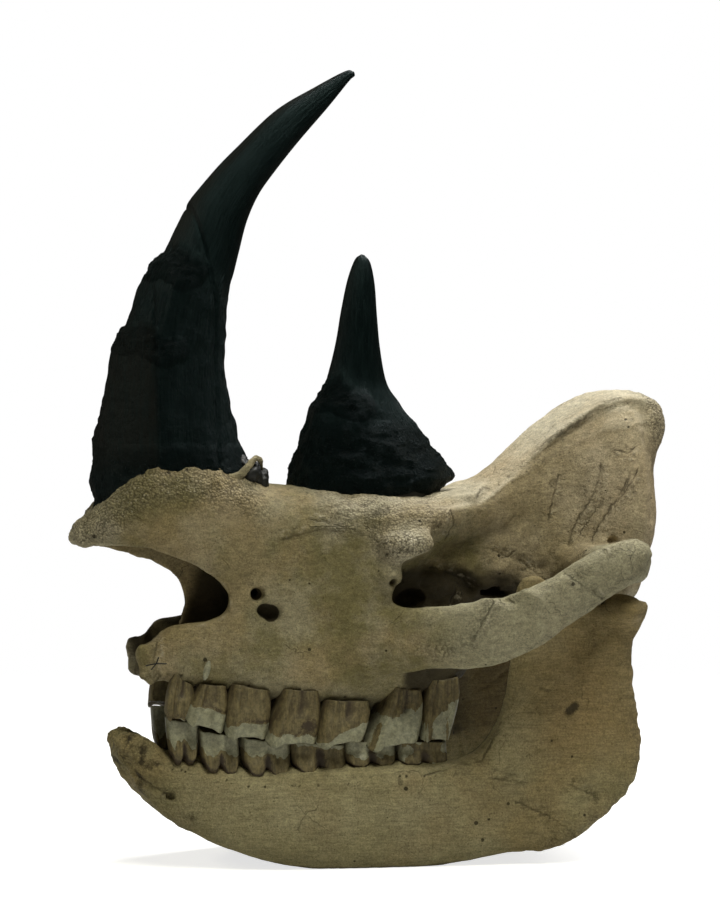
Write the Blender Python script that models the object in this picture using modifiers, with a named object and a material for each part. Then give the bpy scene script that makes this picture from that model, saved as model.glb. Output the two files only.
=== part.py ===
"""A life-size skull of a two-horned African rhinoceros, jaw closed, standing on the lower jaw.

The nose points along -X, the animal's left side faces -Y and +Z is up, all in metres. Sizes below
are measured from the point where the jaw rests, and at the end the whole skull is moved so that the
origin lies under the middle of its length. The braincase, upper jaw, nasal bones, cheek arches and
premaxillae are modelled whole and parted with thin cuts.
"""

import math

import bmesh
import bpy
import numpy as np
from mathutils import Matrix, Vector

# Gap that touching pieces keep
GAP = 0.0003

# Bone forms are fused on a grid of this size, rounded, and thinned to so many triangles
GRID = 0.004
ROUNDING = 6
CRANIUM_TRIANGLES = 4600
MANDIBLE_TRIANGLES = 2300

# Lofted forms: stations of (x, top, bottom, half width at the top, half width at the bottom)
ROOF = [
    (-0.274, 0.314, 0.300, 0.012, 0.012),
    (-0.266, 0.326, 0.292, 0.034, 0.034),
    (-0.248, 0.341, 0.288, 0.052, 0.050),
    (-0.215, 0.364, 0.280, 0.066, 0.062),
    (-0.180, 0.371, 0.262, 0.070, 0.066),
    (-0.140, 0.368, 0.245, 0.072, 0.068),
    (-0.095, 0.356, 0.240, 0.070, 0.070),
    (-0.050, 0.353, 0.240, 0.074, 0.074),
    (-0.010, 0.345, 0.250, 0.088, 0.080),
    (0.020, 0.339, 0.272, 0.103, 0.086),
    (0.050, 0.338, 0.288, 0.098, 0.074),
    (0.080, 0.347, 0.290, 0.078, 0.060),
    (0.115, 0.355, 0.300, 0.060, 0.054),
    (0.163, 0.386, 0.310, 0.047, 0.058),
    (0.205, 0.420, 0.320, 0.048, 0.066),
    (0.240, 0.440, 0.330, 0.064, 0.078),
    (0.260, 0.445, 0.345, 0.078, 0.082),
    (0.277, 0.441, 0.372, 0.084, 0.078),
    (0.288, 0.424, 0.392, 0.070, 0.065),
]
UPPER_FACE = [
    (-0.165, 0.330, 0.200, 0.060, 0.054),
    (-0.120, 0.335, 0.190, 0.066, 0.064),
    (-0.080, 0.335, 0.180, 0.069, 0.070),
    (-0.040, 0.330, 0.180, 0.078, 0.078),
    (-0.012, 0.322, 0.180, 0.092, 0.086),
    (0.006, 0.312, 0.190, 0.098, 0.088),
]
LOWER_FACE = [
    (-0.205, 0.216, 0.178, 0.034, 0.034),
    (-0.190, 0.231, 0.170, 0.046, 0.047),
    (-0.160, 0.240, 0.166, 0.054, 0.056),
    (-0.120, 0.250, 0.158, 0.064, 0.064),
    (-0.075, 0.250, 0.151, 0.072, 0.073),
    (-0.030, 0.250, 0.145, 0.080, 0.079),
    (0.020, 0.245, 0.148, 0.084, 0.081),
    (0.060, 0.235, 0.156, 0.078, 0.078),
    (0.088, 0.225, 0.168, 0.060, 0.066),
]
BRAINCASE = [
    (-0.020, 0.330, 0.215, 0.060, 0.050),
    (0.030, 0.330, 0.210, 0.060, 0.048),
    (0.075, 0.345, 0.222, 0.052, 0.044),
    (0.115, 0.355, 0.228, 0.050, 0.042),
    (0.160, 0.385, 0.230, 0.052, 0.048),
    (0.205, 0.410, 0.232, 0.060, 0.056),
    (0.240, 0.420, 0.234, 0.075, 0.066),
    (0.265, 0.410, 0.238, 0.070, 0.055),
    (0.278, 0.390, 0.250, 0.050, 0.045),
]
OCCIPUT = [
    (0.205, 0.400, 0.270, 0.058, 0.085),
    (0.225, 0.425, 0.266, 0.075, 0.108),
    (0.242, 0.435, 0.264, 0.088, 0.120),
    (0.258, 0.435, 0.262, 0.090, 0.108),
    (0.270, 0.430, 0.268, 0.084, 0.070),
    (0.280, 0.420, 0.300, 0.070, 0.045),
]
NASAL_CAVITY = [
    (-0.262, 0.302, 0.280, 0.020, 0.020),
    (-0.235, 0.322, 0.240, 0.044, 0.042),
    (-0.190, 0.332, 0.214, 0.056, 0.036),
    (-0.140, 0.330, 0.211, 0.058, 0.040),
    (-0.090, 0.320, 0.211, 0.054, 0.040),
    (-0.040, 0.310, 0.216, 0.045, 0.036),
    (0.010, 0.290, 0.226, 0.030, 0.028),
]
PALATE_VAULT = [
    (-0.240, 0.194, 0.100, 0.010, 0.012),
    (-0.190, 0.196, 0.100, 0.018, 0.020),
    (-0.120, 0.196, 0.100, 0.026, 0.030),
    (-0.040, 0.196, 0.100, 0.032, 0.036),
    (0.040, 0.206, 0.100, 0.034, 0.040),
    (0.110, 0.210, 0.100, 0.034, 0.040),
]

# Swept forms of the left side: stations of (x, y, z, half height, half thickness)
CHEEK_ARCH = [
    (-0.030, -0.070, 0.212, 0.034, 0.016),
    (0.005, -0.090, 0.212, 0.033, 0.016),
    (0.035, -0.114, 0.216, 0.029, 0.014),
    (0.075, -0.137, 0.220, 0.032, 0.0135),
    (0.112, -0.149, 0.232, 0.028, 0.013),
    (0.150, -0.154, 0.252, 0.0245, 0.013),
    (0.187, -0.152, 0.2735, 0.024, 0.014),
    (0.215, -0.142, 0.283, 0.022, 0.016),
    (0.238, -0.116, 0.283, 0.022, 0.016),
]
JAW_SOCKET = [
    (0.205, -0.050, 0.276, 0.022, 0.030),
    (0.208, -0.095, 0.280, 0.019, 0.027),
    (0.212, -0.140, 0.284, 0.018, 0.020),
]
SOCKET_SPUR = [
    (0.220, -0.058, 0.272, 0.016, 0.016),
    (0.224, -0.058, 0.245, 0.011, 0.012),
    (0.226, -0.060, 0.220, 0.007, 0.007),
]
NECK_SPUR = [
    (0.242, -0.060, 0.270, 0.016, 0.014),
    (0.240, -0.058, 0.240, 0.011, 0.010),
    (0.236, -0.056, 0.208, 0.006, 0.006),
]
PTERYGOID = [
    (0.070, -0.042, 0.225, 0.014, 0.012),
    (0.092, -0.038, 0.205, 0.014, 0.008),
    (0.108, -0.034, 0.182, 0.010, 0.006),
]
PREMAXILLA = [
    (-0.180, -0.036, 0.200, 0.026, 0.012),
    (-0.205, -0.029, 0.198, 0.021, 0.011),
    (-0.216, -0.022, 0.192, 0.017, 0.009),
    (-0.221, -0.018, 0.190, 0.010, 0.007),
]

# Ellipsoids of the left side: (centre), (radii)
KNOBS = {
    "brow": ((0.012, -0.096, 0.298), (0.020, 0.014, 0.013)),
    "tear": ((0.002, -0.094, 0.272), (0.013, 0.012, 0.012)),
    "arch": ((0.080, -0.139, 0.244), (0.012, 0.010, 0.011)),
    "condyle": ((0.254, -0.034, 0.264), (0.023, 0.025, 0.030)),
}

# The side opening of the nose, as (x, z) round its edge
NOSE_NOTCH = [
    (-0.330, 0.292),
    (-0.285, 0.293),
    (-0.262, 0.299),
    (-0.235, 0.300),
    (-0.2095, 0.2952),
    (-0.1733, 0.2811),
    (-0.149, 0.2644),
    (-0.1415, 0.2477),
    (-0.148, 0.235),
    (-0.165, 0.2285),
    (-0.190, 0.2275),
    (-0.204, 0.222),
    (-0.213, 0.213),
    (-0.230, 0.212),
    (-0.330, 0.212),
]

# The lower jaw's side, as (x, z) round its edge from the front
JAW_SIDE = [
    (-0.2420, 0.117),
    (-0.237, 0.1255),
    (-0.225, 0.126),
    (-0.205, 0.117),
    (-0.190, 0.104),
    (-0.140, 0.094),
    (-0.060, 0.0925),
    (0.000, 0.095),
    (0.056, 0.095),
    (0.090, 0.105),
    (0.112, 0.140),
    (0.122, 0.182),
    (0.131, 0.230),
    (0.146, 0.262),
    (0.158, 0.258),
    (0.170, 0.246),
    (0.184, 0.240),
    (0.200, 0.243),
    (0.236, 0.244),
    (0.2485, 0.2435),
    (0.240, 0.222),
    (0.2285, 0.1996),
    (0.2285, 0.1527),
    (0.2350, 0.115),
    (0.2280, 0.075),
    (0.198, 0.041),
    (0.155, 0.0175),
    (0.117, 0.0140),
    (0.061, 0.0015),
    (0.001, -0.0035),
    (-0.076, 0.0025),
    (-0.1215, 0.0180),
    (-0.1665, 0.038),
    (-0.2070, 0.070),
    (-0.231, 0.100),
]
# Along the lower jaw: (x, distance of its middle from the midline, half thickness)
JAW_PLAN = [
    (-0.250, 0.018, 0.016),
    (-0.200, 0.024, 0.020),
    (-0.150, 0.036, 0.022),
    (-0.100, 0.048, 0.022),
    (-0.050, 0.056, 0.0225),
    (0.000, 0.063, 0.023),
    (0.050, 0.071, 0.023),
    (0.100, 0.084, 0.019),
    (0.150, 0.100, 0.0125),
    (0.200, 0.112, 0.013),
    (0.250, 0.117, 0.015),
]
JAW_EDGE_RADIUS = 0.020
JAW_CONDYLE = ((0.224, -0.112, 0.238), (0.017, 0.037, 0.014))
SYMPHYSIS = [
    (-0.239, 0.121, 0.100, 0.026, 0.020),
    (-0.228, 0.120, 0.084, 0.033, 0.026),
    (-0.200, 0.104, 0.064, 0.034, 0.028),
    (-0.165, 0.088, 0.044, 0.034, 0.026),
    (-0.135, 0.074, 0.036, 0.030, 0.020),
]

# Horn outlines in the mid plane: pairs of front and back edge points, with half width
FRONT_HORN = [
    ((-0.258, 0.320), (-0.096, 0.335), 0.058),
    ((-0.2580, 0.348), (-0.106, 0.366), 0.059),
    ((-0.2556, 0.388), (-0.1190, 0.3965), 0.057),
    ((-0.2415, 0.453), (-0.1345, 0.438), 0.050),
    ((-0.2122, 0.528), (-0.1390, 0.500), 0.040),
    ((-0.1880, 0.575), (-0.1315, 0.548), 0.031),
    ((-0.1410, 0.655), (-0.1095, 0.610), 0.0245),
    ((-0.0960, 0.703), (-0.0700, 0.672), 0.0185),
    ((-0.0497, 0.7340), (-0.032, 0.716), 0.0115),
    ((-0.0105, 0.7510), (-0.006, 0.7445), 0.0045),
]
REAR_HORN = [
    ((-0.068, 0.325), (0.088, 0.330), 0.052),
    ((-0.070, 0.352), (0.090, 0.362), 0.052),
    ((-0.0600, 0.386), (0.0710, 0.390), 0.046),
    ((-0.0477, 0.4229), (0.0412, 0.4228), 0.036),
    ((-0.0299, 0.4583), (0.0200, 0.455), 0.024),
    ((-0.0200, 0.511), (0.0155, 0.502), 0.019),
    ((-0.0100, 0.554), (0.0150, 0.550), 0.013),
    ((0.000, 0.573), (0.0085, 0.5725), 0.006),
]

# Teeth, from the front: (middle x, length, half width, distance of the outer face from the midline,
# root z at the bone)
UPPER_TEETH = {
    "first_premolar": (-0.1845, 0.0190, 0.0100, 0.0500, 0.178),
    "second_premolar": (-0.1570, 0.0340, 0.0170, 0.0590, 0.170),
    "third_premolar": (-0.1165, 0.0420, 0.0220, 0.0665, 0.163),
    "fourth_premolar": (-0.0705, 0.0460, 0.0250, 0.0745, 0.157),
    "first_molar": (-0.0225, 0.0470, 0.0265, 0.0800, 0.152),
    "second_molar": (0.0265, 0.0480, 0.0270, 0.0820, 0.156),
    "third_molar": (0.0660, 0.0300, 0.0220, 0.0800, 0.164),
}
LOWER_TEETH = {
    "second_premolar": (-0.1800, 0.0300, 0.0090, 0.0455, 0.100),
    "third_premolar": (-0.1440, 0.0390, 0.0110, 0.0530, 0.088),
    "fourth_premolar": (-0.0990, 0.0470, 0.0125, 0.0600, 0.086),
    "first_molar": (-0.0490, 0.0500, 0.0135, 0.0655, 0.087),
    "second_molar": (0.0010, 0.0480, 0.0135, 0.0700, 0.090),
    "third_molar": (0.0490, 0.0450, 0.0130, 0.0740, 0.091),
}
# Where upper and lower teeth meet, as (x, z), and how steeply that surface falls outwards
BITE_LINE = [
    (-0.200, 0.1445),
    (-0.150, 0.1335),
    (-0.100, 0.1255),
    (-0.050, 0.1175),
    (0.000, 0.1130),
    (0.040, 0.1135),
    (0.085, 0.1190),
]
BITE_FALL = 0.30
BITE_GAP = 0.0012

# Where the cranium is parted: the nasal bones lie in front of and above the deepest point of the
# nose's side opening, the premaxillae in front of a line, and the cheek arches outside a line
NASAL_CUT = (-0.1400, 0.2455)
PREMAXILLA_CUT = -0.1985
CHEEK_CUT = (0.040, 0.166, 0.0955)
# The line between face and braincase, as (x, z) from the roof down to the palate
FACE_LINE = [(-0.0925, 0.6), (-0.0925, 0.310), (0.022, 0.268), (0.092, 0.235), (0.092, 0.0)]
# Farther than any part of the skull reaches
REACH = 0.45

BONE = (0.33, 0.29, 0.20)
JAW_BONE = (0.22, 0.19, 0.12)
HORN = (0.018, 0.022, 0.022)


def clear_scene():
    for obj in list(bpy.data.objects):
        bpy.data.objects.remove(obj, do_unlink=True)


def material(name, colour, roughness):
    made = bpy.data.materials.new(name)
    made.use_nodes = True
    shader = made.node_tree.nodes["Principled BSDF"]
    shader.inputs["Base Color"].default_value = (*colour, 1)
    shader.inputs["Roughness"].default_value = roughness
    shader.inputs["Metallic"].default_value = 0
    return made


def smooth_through(stations, steps):
    """Rows on a smooth curve through the stations, with so many steps between each pair."""
    rows = np.array(stations, float)
    padded = np.vstack([2 * rows[0] - rows[1], rows, 2 * rows[-1] - rows[-2]])
    made = []
    for before, start, end, after in zip(padded, padded[1:], padded[2:], padded[3:]):
        for step in range(steps):
            t = step / steps
            made.append(
                start
                + (end - before) * t / 2
                + (2 * before - 5 * start + 4 * end - after) * t**2 / 2
                + (3 * start - before - 3 * end + after) * t**3 / 2
            )
    made.append(rows[-1])
    return np.array(made)


def value_at(stations, x, column):
    """The column's value at x, on a smooth curve through the stations."""
    fine = smooth_through(stations, 8)
    return np.interp(x, fine[:, 0], fine[:, column])


def rounded_ring(sides, power):
    """Unit points round a superellipse: a square at a high power, a circle at 2."""
    angles = np.arange(sides) * 2 * math.pi / sides
    across, up = np.cos(angles), np.sin(angles)
    return (
        np.sign(across) * abs(across) ** (2 / power),
        np.sign(up) * abs(up) ** (2 / power),
    )


def mesh_of_rings(name, rings):
    """A closed mesh through rings of equally many points, capped at both ends."""
    form = bmesh.new()
    rows = [[form.verts.new(point) for point in ring] for ring in rings]
    count = len(rows[0])
    for first, second in zip(rows, rows[1:]):
        for k in range(count):
            near = (k + 1) % count
            form.faces.new((first[k], first[near], second[near], second[k]))
    form.faces.new(rows[0][::-1])
    form.faces.new(rows[-1])
    bmesh.ops.recalc_face_normals(form, faces=form.faces)
    mesh = bpy.data.meshes.new(name)
    form.to_mesh(mesh)
    form.free()
    return add_object(name, mesh)


def add_object(name, mesh):
    obj = bpy.data.objects.new(name, mesh)
    bpy.context.scene.collection.objects.link(obj)
    return obj


def loft(name, stations, power=2.6, sides=28, steps=4):
    """A form along X whose sections stand upright and are alike on both sides."""
    across, up = rounded_ring(sides, power)
    rings = []
    for x, top, bottom, wide_top, wide_bottom in smooth_through(stations, steps):
        height = bottom + (up + 1) / 2 * (top - bottom)
        width = wide_bottom + (up + 1) / 2 * (wide_top - wide_bottom)
        rings.append(np.column_stack([np.full(sides, x), across * width, height]))
    return mesh_of_rings(name, rings)


def sweep(name, stations, sides=18, steps=4, power=2.2):
    """A form along a path, with sections square to it that stay as upright as they can."""
    path = smooth_through(stations, steps)
    across, up = rounded_ring(sides, power)
    ways = np.gradient(path[:, :3], axis=0)
    rings = []
    for row, way in zip(path, ways):
        ahead = Vector(way).normalized()
        upright = Vector((0, 0, 1)) if abs(ahead.z) < 0.8 else Vector((-1, 0, 0))
        side = ahead.cross(upright).normalized()
        upright = side.cross(ahead)
        rings.append(
            row[:3]
            + np.outer(up * row[3], upright)
            + np.outer(across * row[4], side)
        )
    return mesh_of_rings(name, rings)


def ellipsoid(name, centre, radii):
    form = bmesh.new()
    bmesh.ops.create_uvsphere(form, u_segments=20, v_segments=12, radius=1)
    bmesh.ops.transform(
        form,
        matrix=Matrix.Translation(centre) @ Matrix.Diagonal((*radii, 1)),
        verts=form.verts,
    )
    mesh = bpy.data.meshes.new(name)
    form.to_mesh(mesh)
    form.free()
    return add_object(name, mesh)


def box(name, low, high):
    """A box between two corners."""
    low, high = Vector(low), Vector(high)
    form = bmesh.new()
    bmesh.ops.create_cube(form, size=1)
    bmesh.ops.transform(
        form,
        matrix=Matrix.Translation((low + high) / 2) @ Matrix.Diagonal((*(high - low), 1)),
        verts=form.verts,
    )
    mesh = bpy.data.meshes.new(name)
    form.to_mesh(mesh)
    form.free()
    return add_object(name, mesh)


def plate(name, outline, half_thickness, steps=4):
    """A flat plate in the XZ plane, from its outline, which is smooth unless it has one step."""
    curve = bpy.data.curves.new(name, "CURVE")
    curve.dimensions = "2D"
    curve.fill_mode = "BOTH"
    curve.extrude = half_thickness
    closed = smooth_through([*outline, outline[0]], steps)[:-1]
    line = curve.splines.new("POLY")
    line.points.add(len(closed) - 1)
    for point, (x, z) in zip(line.points, closed):
        point.co = (x, z, 0, 1)
    line.use_cyclic_u = True
    flat = add_object(name, curve)
    flat.matrix_world = Matrix.Rotation(math.pi / 2, 4, "X")
    return as_mesh(flat)


def as_mesh(obj):
    """The object as it shows, as a mesh object with its place in its mesh."""
    bpy.context.view_layer.update()
    shown = obj.evaluated_get(bpy.context.evaluated_depsgraph_get())
    mesh = bpy.data.meshes.new_from_object(shown)
    mesh.transform(obj.matrix_world)
    form = bmesh.new()
    form.from_mesh(mesh)
    bmesh.ops.remove_doubles(form, verts=form.verts, dist=1e-6)
    bmesh.ops.recalc_face_normals(form, faces=form.faces)
    form.to_mesh(mesh)
    form.free()
    name = obj.name
    bpy.data.objects.remove(obj)
    made = add_object(name, mesh)
    return made


def mirrored(obj):
    """A copy of a left-hand piece on the right."""
    mesh = obj.data.copy()
    mesh.transform(Matrix.Diagonal((1, -1, 1, 1)))
    mesh.flip_normals()
    return add_object(obj.name + "_right", mesh)


def both_sides(obj):
    return [obj, mirrored(obj)]


def joined(name, pieces):
    """The pieces as one mesh object, not yet fused."""
    form = bmesh.new()
    for piece in pieces:
        form.from_mesh(piece.data)
        bpy.data.objects.remove(piece)
    mesh = bpy.data.meshes.new(name)
    form.to_mesh(mesh)
    form.free()
    return add_object(name, mesh)


def applied(obj):
    """Makes the object's modifiers part of its mesh."""
    bpy.context.view_layer.update()
    shown = obj.evaluated_get(bpy.context.evaluated_depsgraph_get())
    mesh = bpy.data.meshes.new_from_object(shown)
    obj.modifiers.clear()
    obj.data = mesh
    return obj


def remeshed(obj, grid):
    fuse = obj.modifiers.new("fuse", "REMESH")
    fuse.mode = "VOXEL"
    fuse.voxel_size = grid
    return applied(obj)


def rounded_and_thinned(obj, rounding, triangles):
    """Rounds the creases where forms meet, then thins the mesh to about so many triangles."""
    soften = obj.modifiers.new("soften", "SMOOTH")
    soften.factor = 0.5
    soften.iterations = rounding
    applied(obj)
    faces = 2 * len(obj.data.polygons)
    thin = obj.modifiers.new("thin", "DECIMATE")
    thin.ratio = min(1, triangles / faces)
    thin.use_collapse_triangulate = True
    return applied(obj)


def boolean(obj, other, operation):
    """Cuts with, joins or keeps the overlap with another object, which is then removed."""
    change = obj.modifiers.new(operation.lower(), "BOOLEAN")
    change.operation = operation
    change.solver = "MANIFOLD"
    change.object = other
    applied(obj)
    bpy.data.objects.remove(other)
    return obj


def union_of(obj, pieces):
    """Fuses the pieces into the object with one union."""
    group = bpy.data.collections.new("joining")
    for piece in pieces:
        group.objects.link(piece)
    change = obj.modifiers.new("union", "BOOLEAN")
    change.operation = "UNION"
    change.solver = "MANIFOLD"
    change.operand_type = "COLLECTION"
    change.collection = group
    applied(obj)
    for piece in pieces:
        bpy.data.objects.remove(piece)
    bpy.data.collections.remove(group)
    return obj


def largest_body(obj):
    """Keeps only the largest closed surface."""
    form = bmesh.new()
    form.from_mesh(obj.data)
    bmesh.ops.remove_doubles(form, verts=form.verts, dist=1e-6)
    unseen = set(form.verts)
    bodies = []
    while unseen:
        body, edge = set(), [unseen.pop()]
        while edge:
            vert = edge.pop()
            body.add(vert)
            for link in vert.link_edges:
                other = link.other_vert(vert)
                if other in unseen:
                    unseen.discard(other)
                    edge.append(other)
        bodies.append(body)
    bodies.sort(key=len, reverse=True)
    for body in bodies[1:]:
        bmesh.ops.delete(form, geom=list(body), context="VERTS")
    form.to_mesh(obj.data)
    form.free()
    return obj


def copy_of(obj, name):
    return add_object(name, obj.data.copy())


def split_off(whole, name, region, grown_region):
    """Takes the part of the whole in a region off as a piece, a thin cut from the rest."""
    piece = boolean(copy_of(whole, name), region, "INTERSECT")
    largest_body(boolean(whole, grown_region, "DIFFERENCE"))
    return largest_body(piece)


def split_off_box(whole, name, low, high):
    low, high = Vector(low), Vector(high)
    grown = Vector((GAP, GAP, GAP))
    return split_off(whole, name, box("region", low, high), box("grown", low - grown, high + grown))


def bite_height(x, y):
    """Height of the surface where upper and lower teeth meet."""
    return np.interp(x, *np.array(BITE_LINE).T) - BITE_FALL * (abs(y) - 0.06)


def upper_tooth(name, middle, length, half_width, outer, root_z):
    """A crown with a folded outer wall, narrower at its root, worn to the bite surface."""
    sides = 14
    across, along = rounded_ring(sides, 3.4)
    folds = 0.0014 * np.cos(3 * math.pi * along)
    rings = []
    for share, narrow in ((0, 0.80), (0.45, 0.90), (0.8, 1.0), (1, 0.97)):
        x = middle + along * length / 2 * narrow + 0.004 * (1 - share)
        y = -(outer - half_width) + across * half_width * (0.86 + 0.14 * share)
        y = np.where(across < -0.6, y + folds, y)
        low = bite_height(x, y) + BITE_GAP / 2
        top = root_z + 0.012
        rings.append(np.column_stack([x, y, top + share * (low - top)]))
    return mesh_of_rings(name, rings)


def lower_lobe(name, middle, length, half_width, outer, root_z):
    """One of the two columns of a lower tooth, with its root in the jaw."""
    sides = 8
    across, along = rounded_ring(sides, 2.8)
    rings = []
    bottom = root_z - 0.010
    for share, narrow in ((0, 0.42), (0.3, 0.72), (0.65, 1.0), (1, 0.98)):
        x = middle + along * length / 2 * narrow
        y = -(outer - half_width) + across * half_width * (0.75 + 0.25 * share)
        high = bite_height(x, y) - BITE_GAP / 2
        rings.append(np.column_stack([x, y, bottom + share * (high - bottom)]))
    return mesh_of_rings(name, rings)


def upper_teeth():
    made = []
    for name, sizes in UPPER_TEETH.items():
        made += both_sides(upper_tooth(name, *sizes))
    return made


def lower_teeth():
    made = []
    for name, (middle, length, half_width, outer, root_z) in LOWER_TEETH.items():
        for sign in (-1, 1):
            lobe = lower_lobe(
                f"{name}_lobe",
                middle + sign * length * 0.235,
                length * 0.55,
                half_width,
                outer,
                root_z,
            )
            made += both_sides(lobe)
    return made


def bounds(objects):
    """The lowest and highest coordinates of the objects' points."""
    points = np.array([tuple(vert.co) for obj in objects for vert in obj.data.vertices])
    return points.min(axis=0), points.max(axis=0)


def cranium_forms():
    """The overlapping forms that the cranium is fused from."""
    forms = [
        loft("roof", ROOF, power=3),
        loft("upper_face", UPPER_FACE, power=3),
        loft("lower_face", LOWER_FACE, power=3.4),
        loft("braincase_core", BRAINCASE, power=2.4),
        loft("occiput", OCCIPUT, power=3.2),
    ]
    for name, stations in (
        ("cheek_arch", CHEEK_ARCH),
        ("jaw_socket", JAW_SOCKET),
        ("socket_spur", SOCKET_SPUR),
        ("neck_spur", NECK_SPUR),
        ("pterygoid", PTERYGOID),
        ("premaxilla", PREMAXILLA),
    ):
        forms += both_sides(sweep(name, stations))
    for name, (centre, radii) in KNOBS.items():
        forms += both_sides(ellipsoid(name + "_knob", centre, radii))
    return forms


def cranium():
    """The whole cranium with its upper teeth, before it is parted."""
    whole = remeshed(joined("cranium", cranium_forms()), GRID)
    boolean(whole, plate("nose_notch", NOSE_NOTCH, 0.12), "DIFFERENCE")
    boolean(whole, loft("nasal_cavity", NASAL_CAVITY, power=2.4), "DIFFERENCE")
    boolean(whole, loft("palate_vault", PALATE_VAULT, power=3), "DIFFERENCE")
    whole = rounded_and_thinned(remeshed(whole, GRID), ROUNDING, CRANIUM_TRIANGLES)
    largest_body(whole)
    union_of(whole, upper_teeth())
    return largest_body(whole)


def jaw_half():
    """The left side of the lower jaw: its outline given thickness and set along its plan."""
    half = remeshed(plate("jaw_half", JAW_SIDE, 0.012), GRID)
    edge = smooth_through([*JAW_SIDE, JAW_SIDE[0]], 4)
    points = np.empty(len(half.data.vertices) * 3)
    half.data.vertices.foreach_get("co", points)
    points = points.reshape(-1, 3)
    flat = points[:, [0, 2]]
    starts, runs = edge[:-1], np.diff(edge, axis=0)
    along = np.einsum("pik,ik->pi", flat[:, None] - starts, runs)
    share = np.clip(along / (runs**2).sum(axis=1), 0, 1)
    nearest = starts + share[..., None] * runs
    depth = np.sqrt(((flat[:, None] - nearest) ** 2).sum(axis=2).min(axis=1))
    shy = 1 - np.clip(depth / JAW_EDGE_RADIUS, 0, 1)
    fullness = 0.35 + 0.65 * np.sqrt(1 - shy**2)
    thickness = value_at(JAW_PLAN, points[:, 0], 2)
    upper = np.clip((points[:, 2] - 0.13) / 0.06, 0, 1)
    thickness = thickness * (1 - 0.30 * upper)
    middle = value_at(JAW_PLAN, points[:, 0], 1)
    points[:, 1] = -middle + points[:, 1] / 0.012 * thickness * fullness
    half.data.vertices.foreach_set("co", points.ravel())
    half.data.update()
    return half


def mandible():
    """The lower jaw with its teeth, flattened a little where it rests."""
    forms = both_sides(jaw_half())
    forms += both_sides(ellipsoid("jaw_condyle", *JAW_CONDYLE))
    forms.append(loft("symphysis", SYMPHYSIS))
    jaw = remeshed(joined("mandible", forms), GRID)
    rounded_and_thinned(jaw, ROUNDING, MANDIBLE_TRIANGLES)
    largest_body(jaw)
    union_of(jaw, lower_teeth())
    boolean(jaw, box("floor", (-0.4, -0.3, -0.1), (0.4, 0.3, 0)), "DIFFERENCE")
    return largest_body(jaw)


def horn(name, edges, sides=20, steps=2):
    """A horn lofted between its front and back edges."""
    rows = [(*front, *back, half_width) for front, back, half_width in edges]
    angles = np.arange(sides) * 2 * math.pi / sides
    rings = []
    for front_x, front_z, back_x, back_z, half_width in smooth_through(rows, steps):
        middle = np.array([(front_x + back_x) / 2, 0, (front_z + back_z) / 2])
        reach = np.array([(front_x - back_x) / 2, 0, (front_z - back_z) / 2])
        side = np.array([0, half_width, 0])
        rings.append(middle + np.outer(np.cos(angles), reach) + np.outer(np.sin(angles), side))
    return mesh_of_rings(name, rings)


def seated_on(piece, support):
    """Cuts a piece's base to the surface it stands on, a thin gap away."""
    grown = copy_of(support, "grown_support")
    swell = grown.modifiers.new("swell", "DISPLACE")
    swell.strength = GAP * 2
    swell.mid_level = 0
    applied(grown)
    boolean(piece, grown, "DIFFERENCE")
    return largest_body(piece)


def parted(whole):
    """The cranium's named parts, a thin cut apart."""
    nose_x, nose_z = NASAL_CUT
    front, back, out = CHEEK_CUT
    nasal = split_off_box(whole, "nasal_bones", (-REACH, -REACH, nose_z), (nose_x, REACH, REACH))
    parts = [nasal]
    for side, inner, outer in (("left", -GAP / 2, -REACH), ("right", GAP / 2, REACH)):
        low = (-REACH, min(inner, outer), 0.05)
        high = (PREMAXILLA_CUT, max(inner, outer), nose_z)
        parts.append(split_off_box(whole, f"premaxilla_{side}", low, high))
    for side, inner, outer in (("left", -out, -REACH), ("right", out, REACH)):
        low = (front, min(inner, outer), 0.1)
        high = (back, max(inner, outer), 0.35)
        parts.append(split_off_box(whole, f"cheek_arch_{side}", low, high))
    behind = [*FACE_LINE, (REACH, 0.0), (REACH, 0.6)]
    widened = [(x - GAP, z - GAP) for x, z in FACE_LINE] + [(REACH, -GAP), (REACH, 0.6)]
    braincase = split_off(
        whole, "braincase", plate("behind", behind, REACH, 1), plate("grown", widened, REACH, 1)
    )
    whole.name = "upper_jaw"
    return [*parts, braincase, whole]


def build():
    clear_scene()
    bone = material("bone", BONE, 0.75)
    jaw_bone = material("jaw_bone", JAW_BONE, 0.75)
    horn_black = material("horn", HORN, 0.45)
    group = bpy.data.collections.new("rhinoceros_skull")
    bpy.context.scene.collection.children.link(group)

    whole = cranium()
    front_horn = seated_on(horn("front_horn", FRONT_HORN), whole)
    rear_horn = seated_on(horn("rear_horn", REAR_HORN), whole)
    jaw = seated_on(mandible(), whole)
    parts = [(part, bone) for part in parted(whole)]
    parts += [(jaw, jaw_bone), (front_horn, horn_black), (rear_horn, horn_black)]
    objects = [obj for obj, finish in parts]
    low, high = bounds(objects)
    to_origin = Matrix.Translation((-(low[0] + high[0]) / 2, -(low[1] + high[1]) / 2, -low[2]))
    for obj, finish in parts:
        obj.data.transform(to_origin)
        obj.data.materials.clear()
        obj.data.materials.append(finish)
        bpy.context.scene.collection.objects.unlink(obj)
        group.objects.link(obj)


build()
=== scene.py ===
"""Looks of a life-size rhinoceros skull: bone, teeth and two horns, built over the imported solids.

Sizes are in metres. Forms are measured from the point where the lower jaw rests and are moved into
the row frame when a piece is placed, with the nose along -X and the animal's left side towards -Y.
"""

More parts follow.
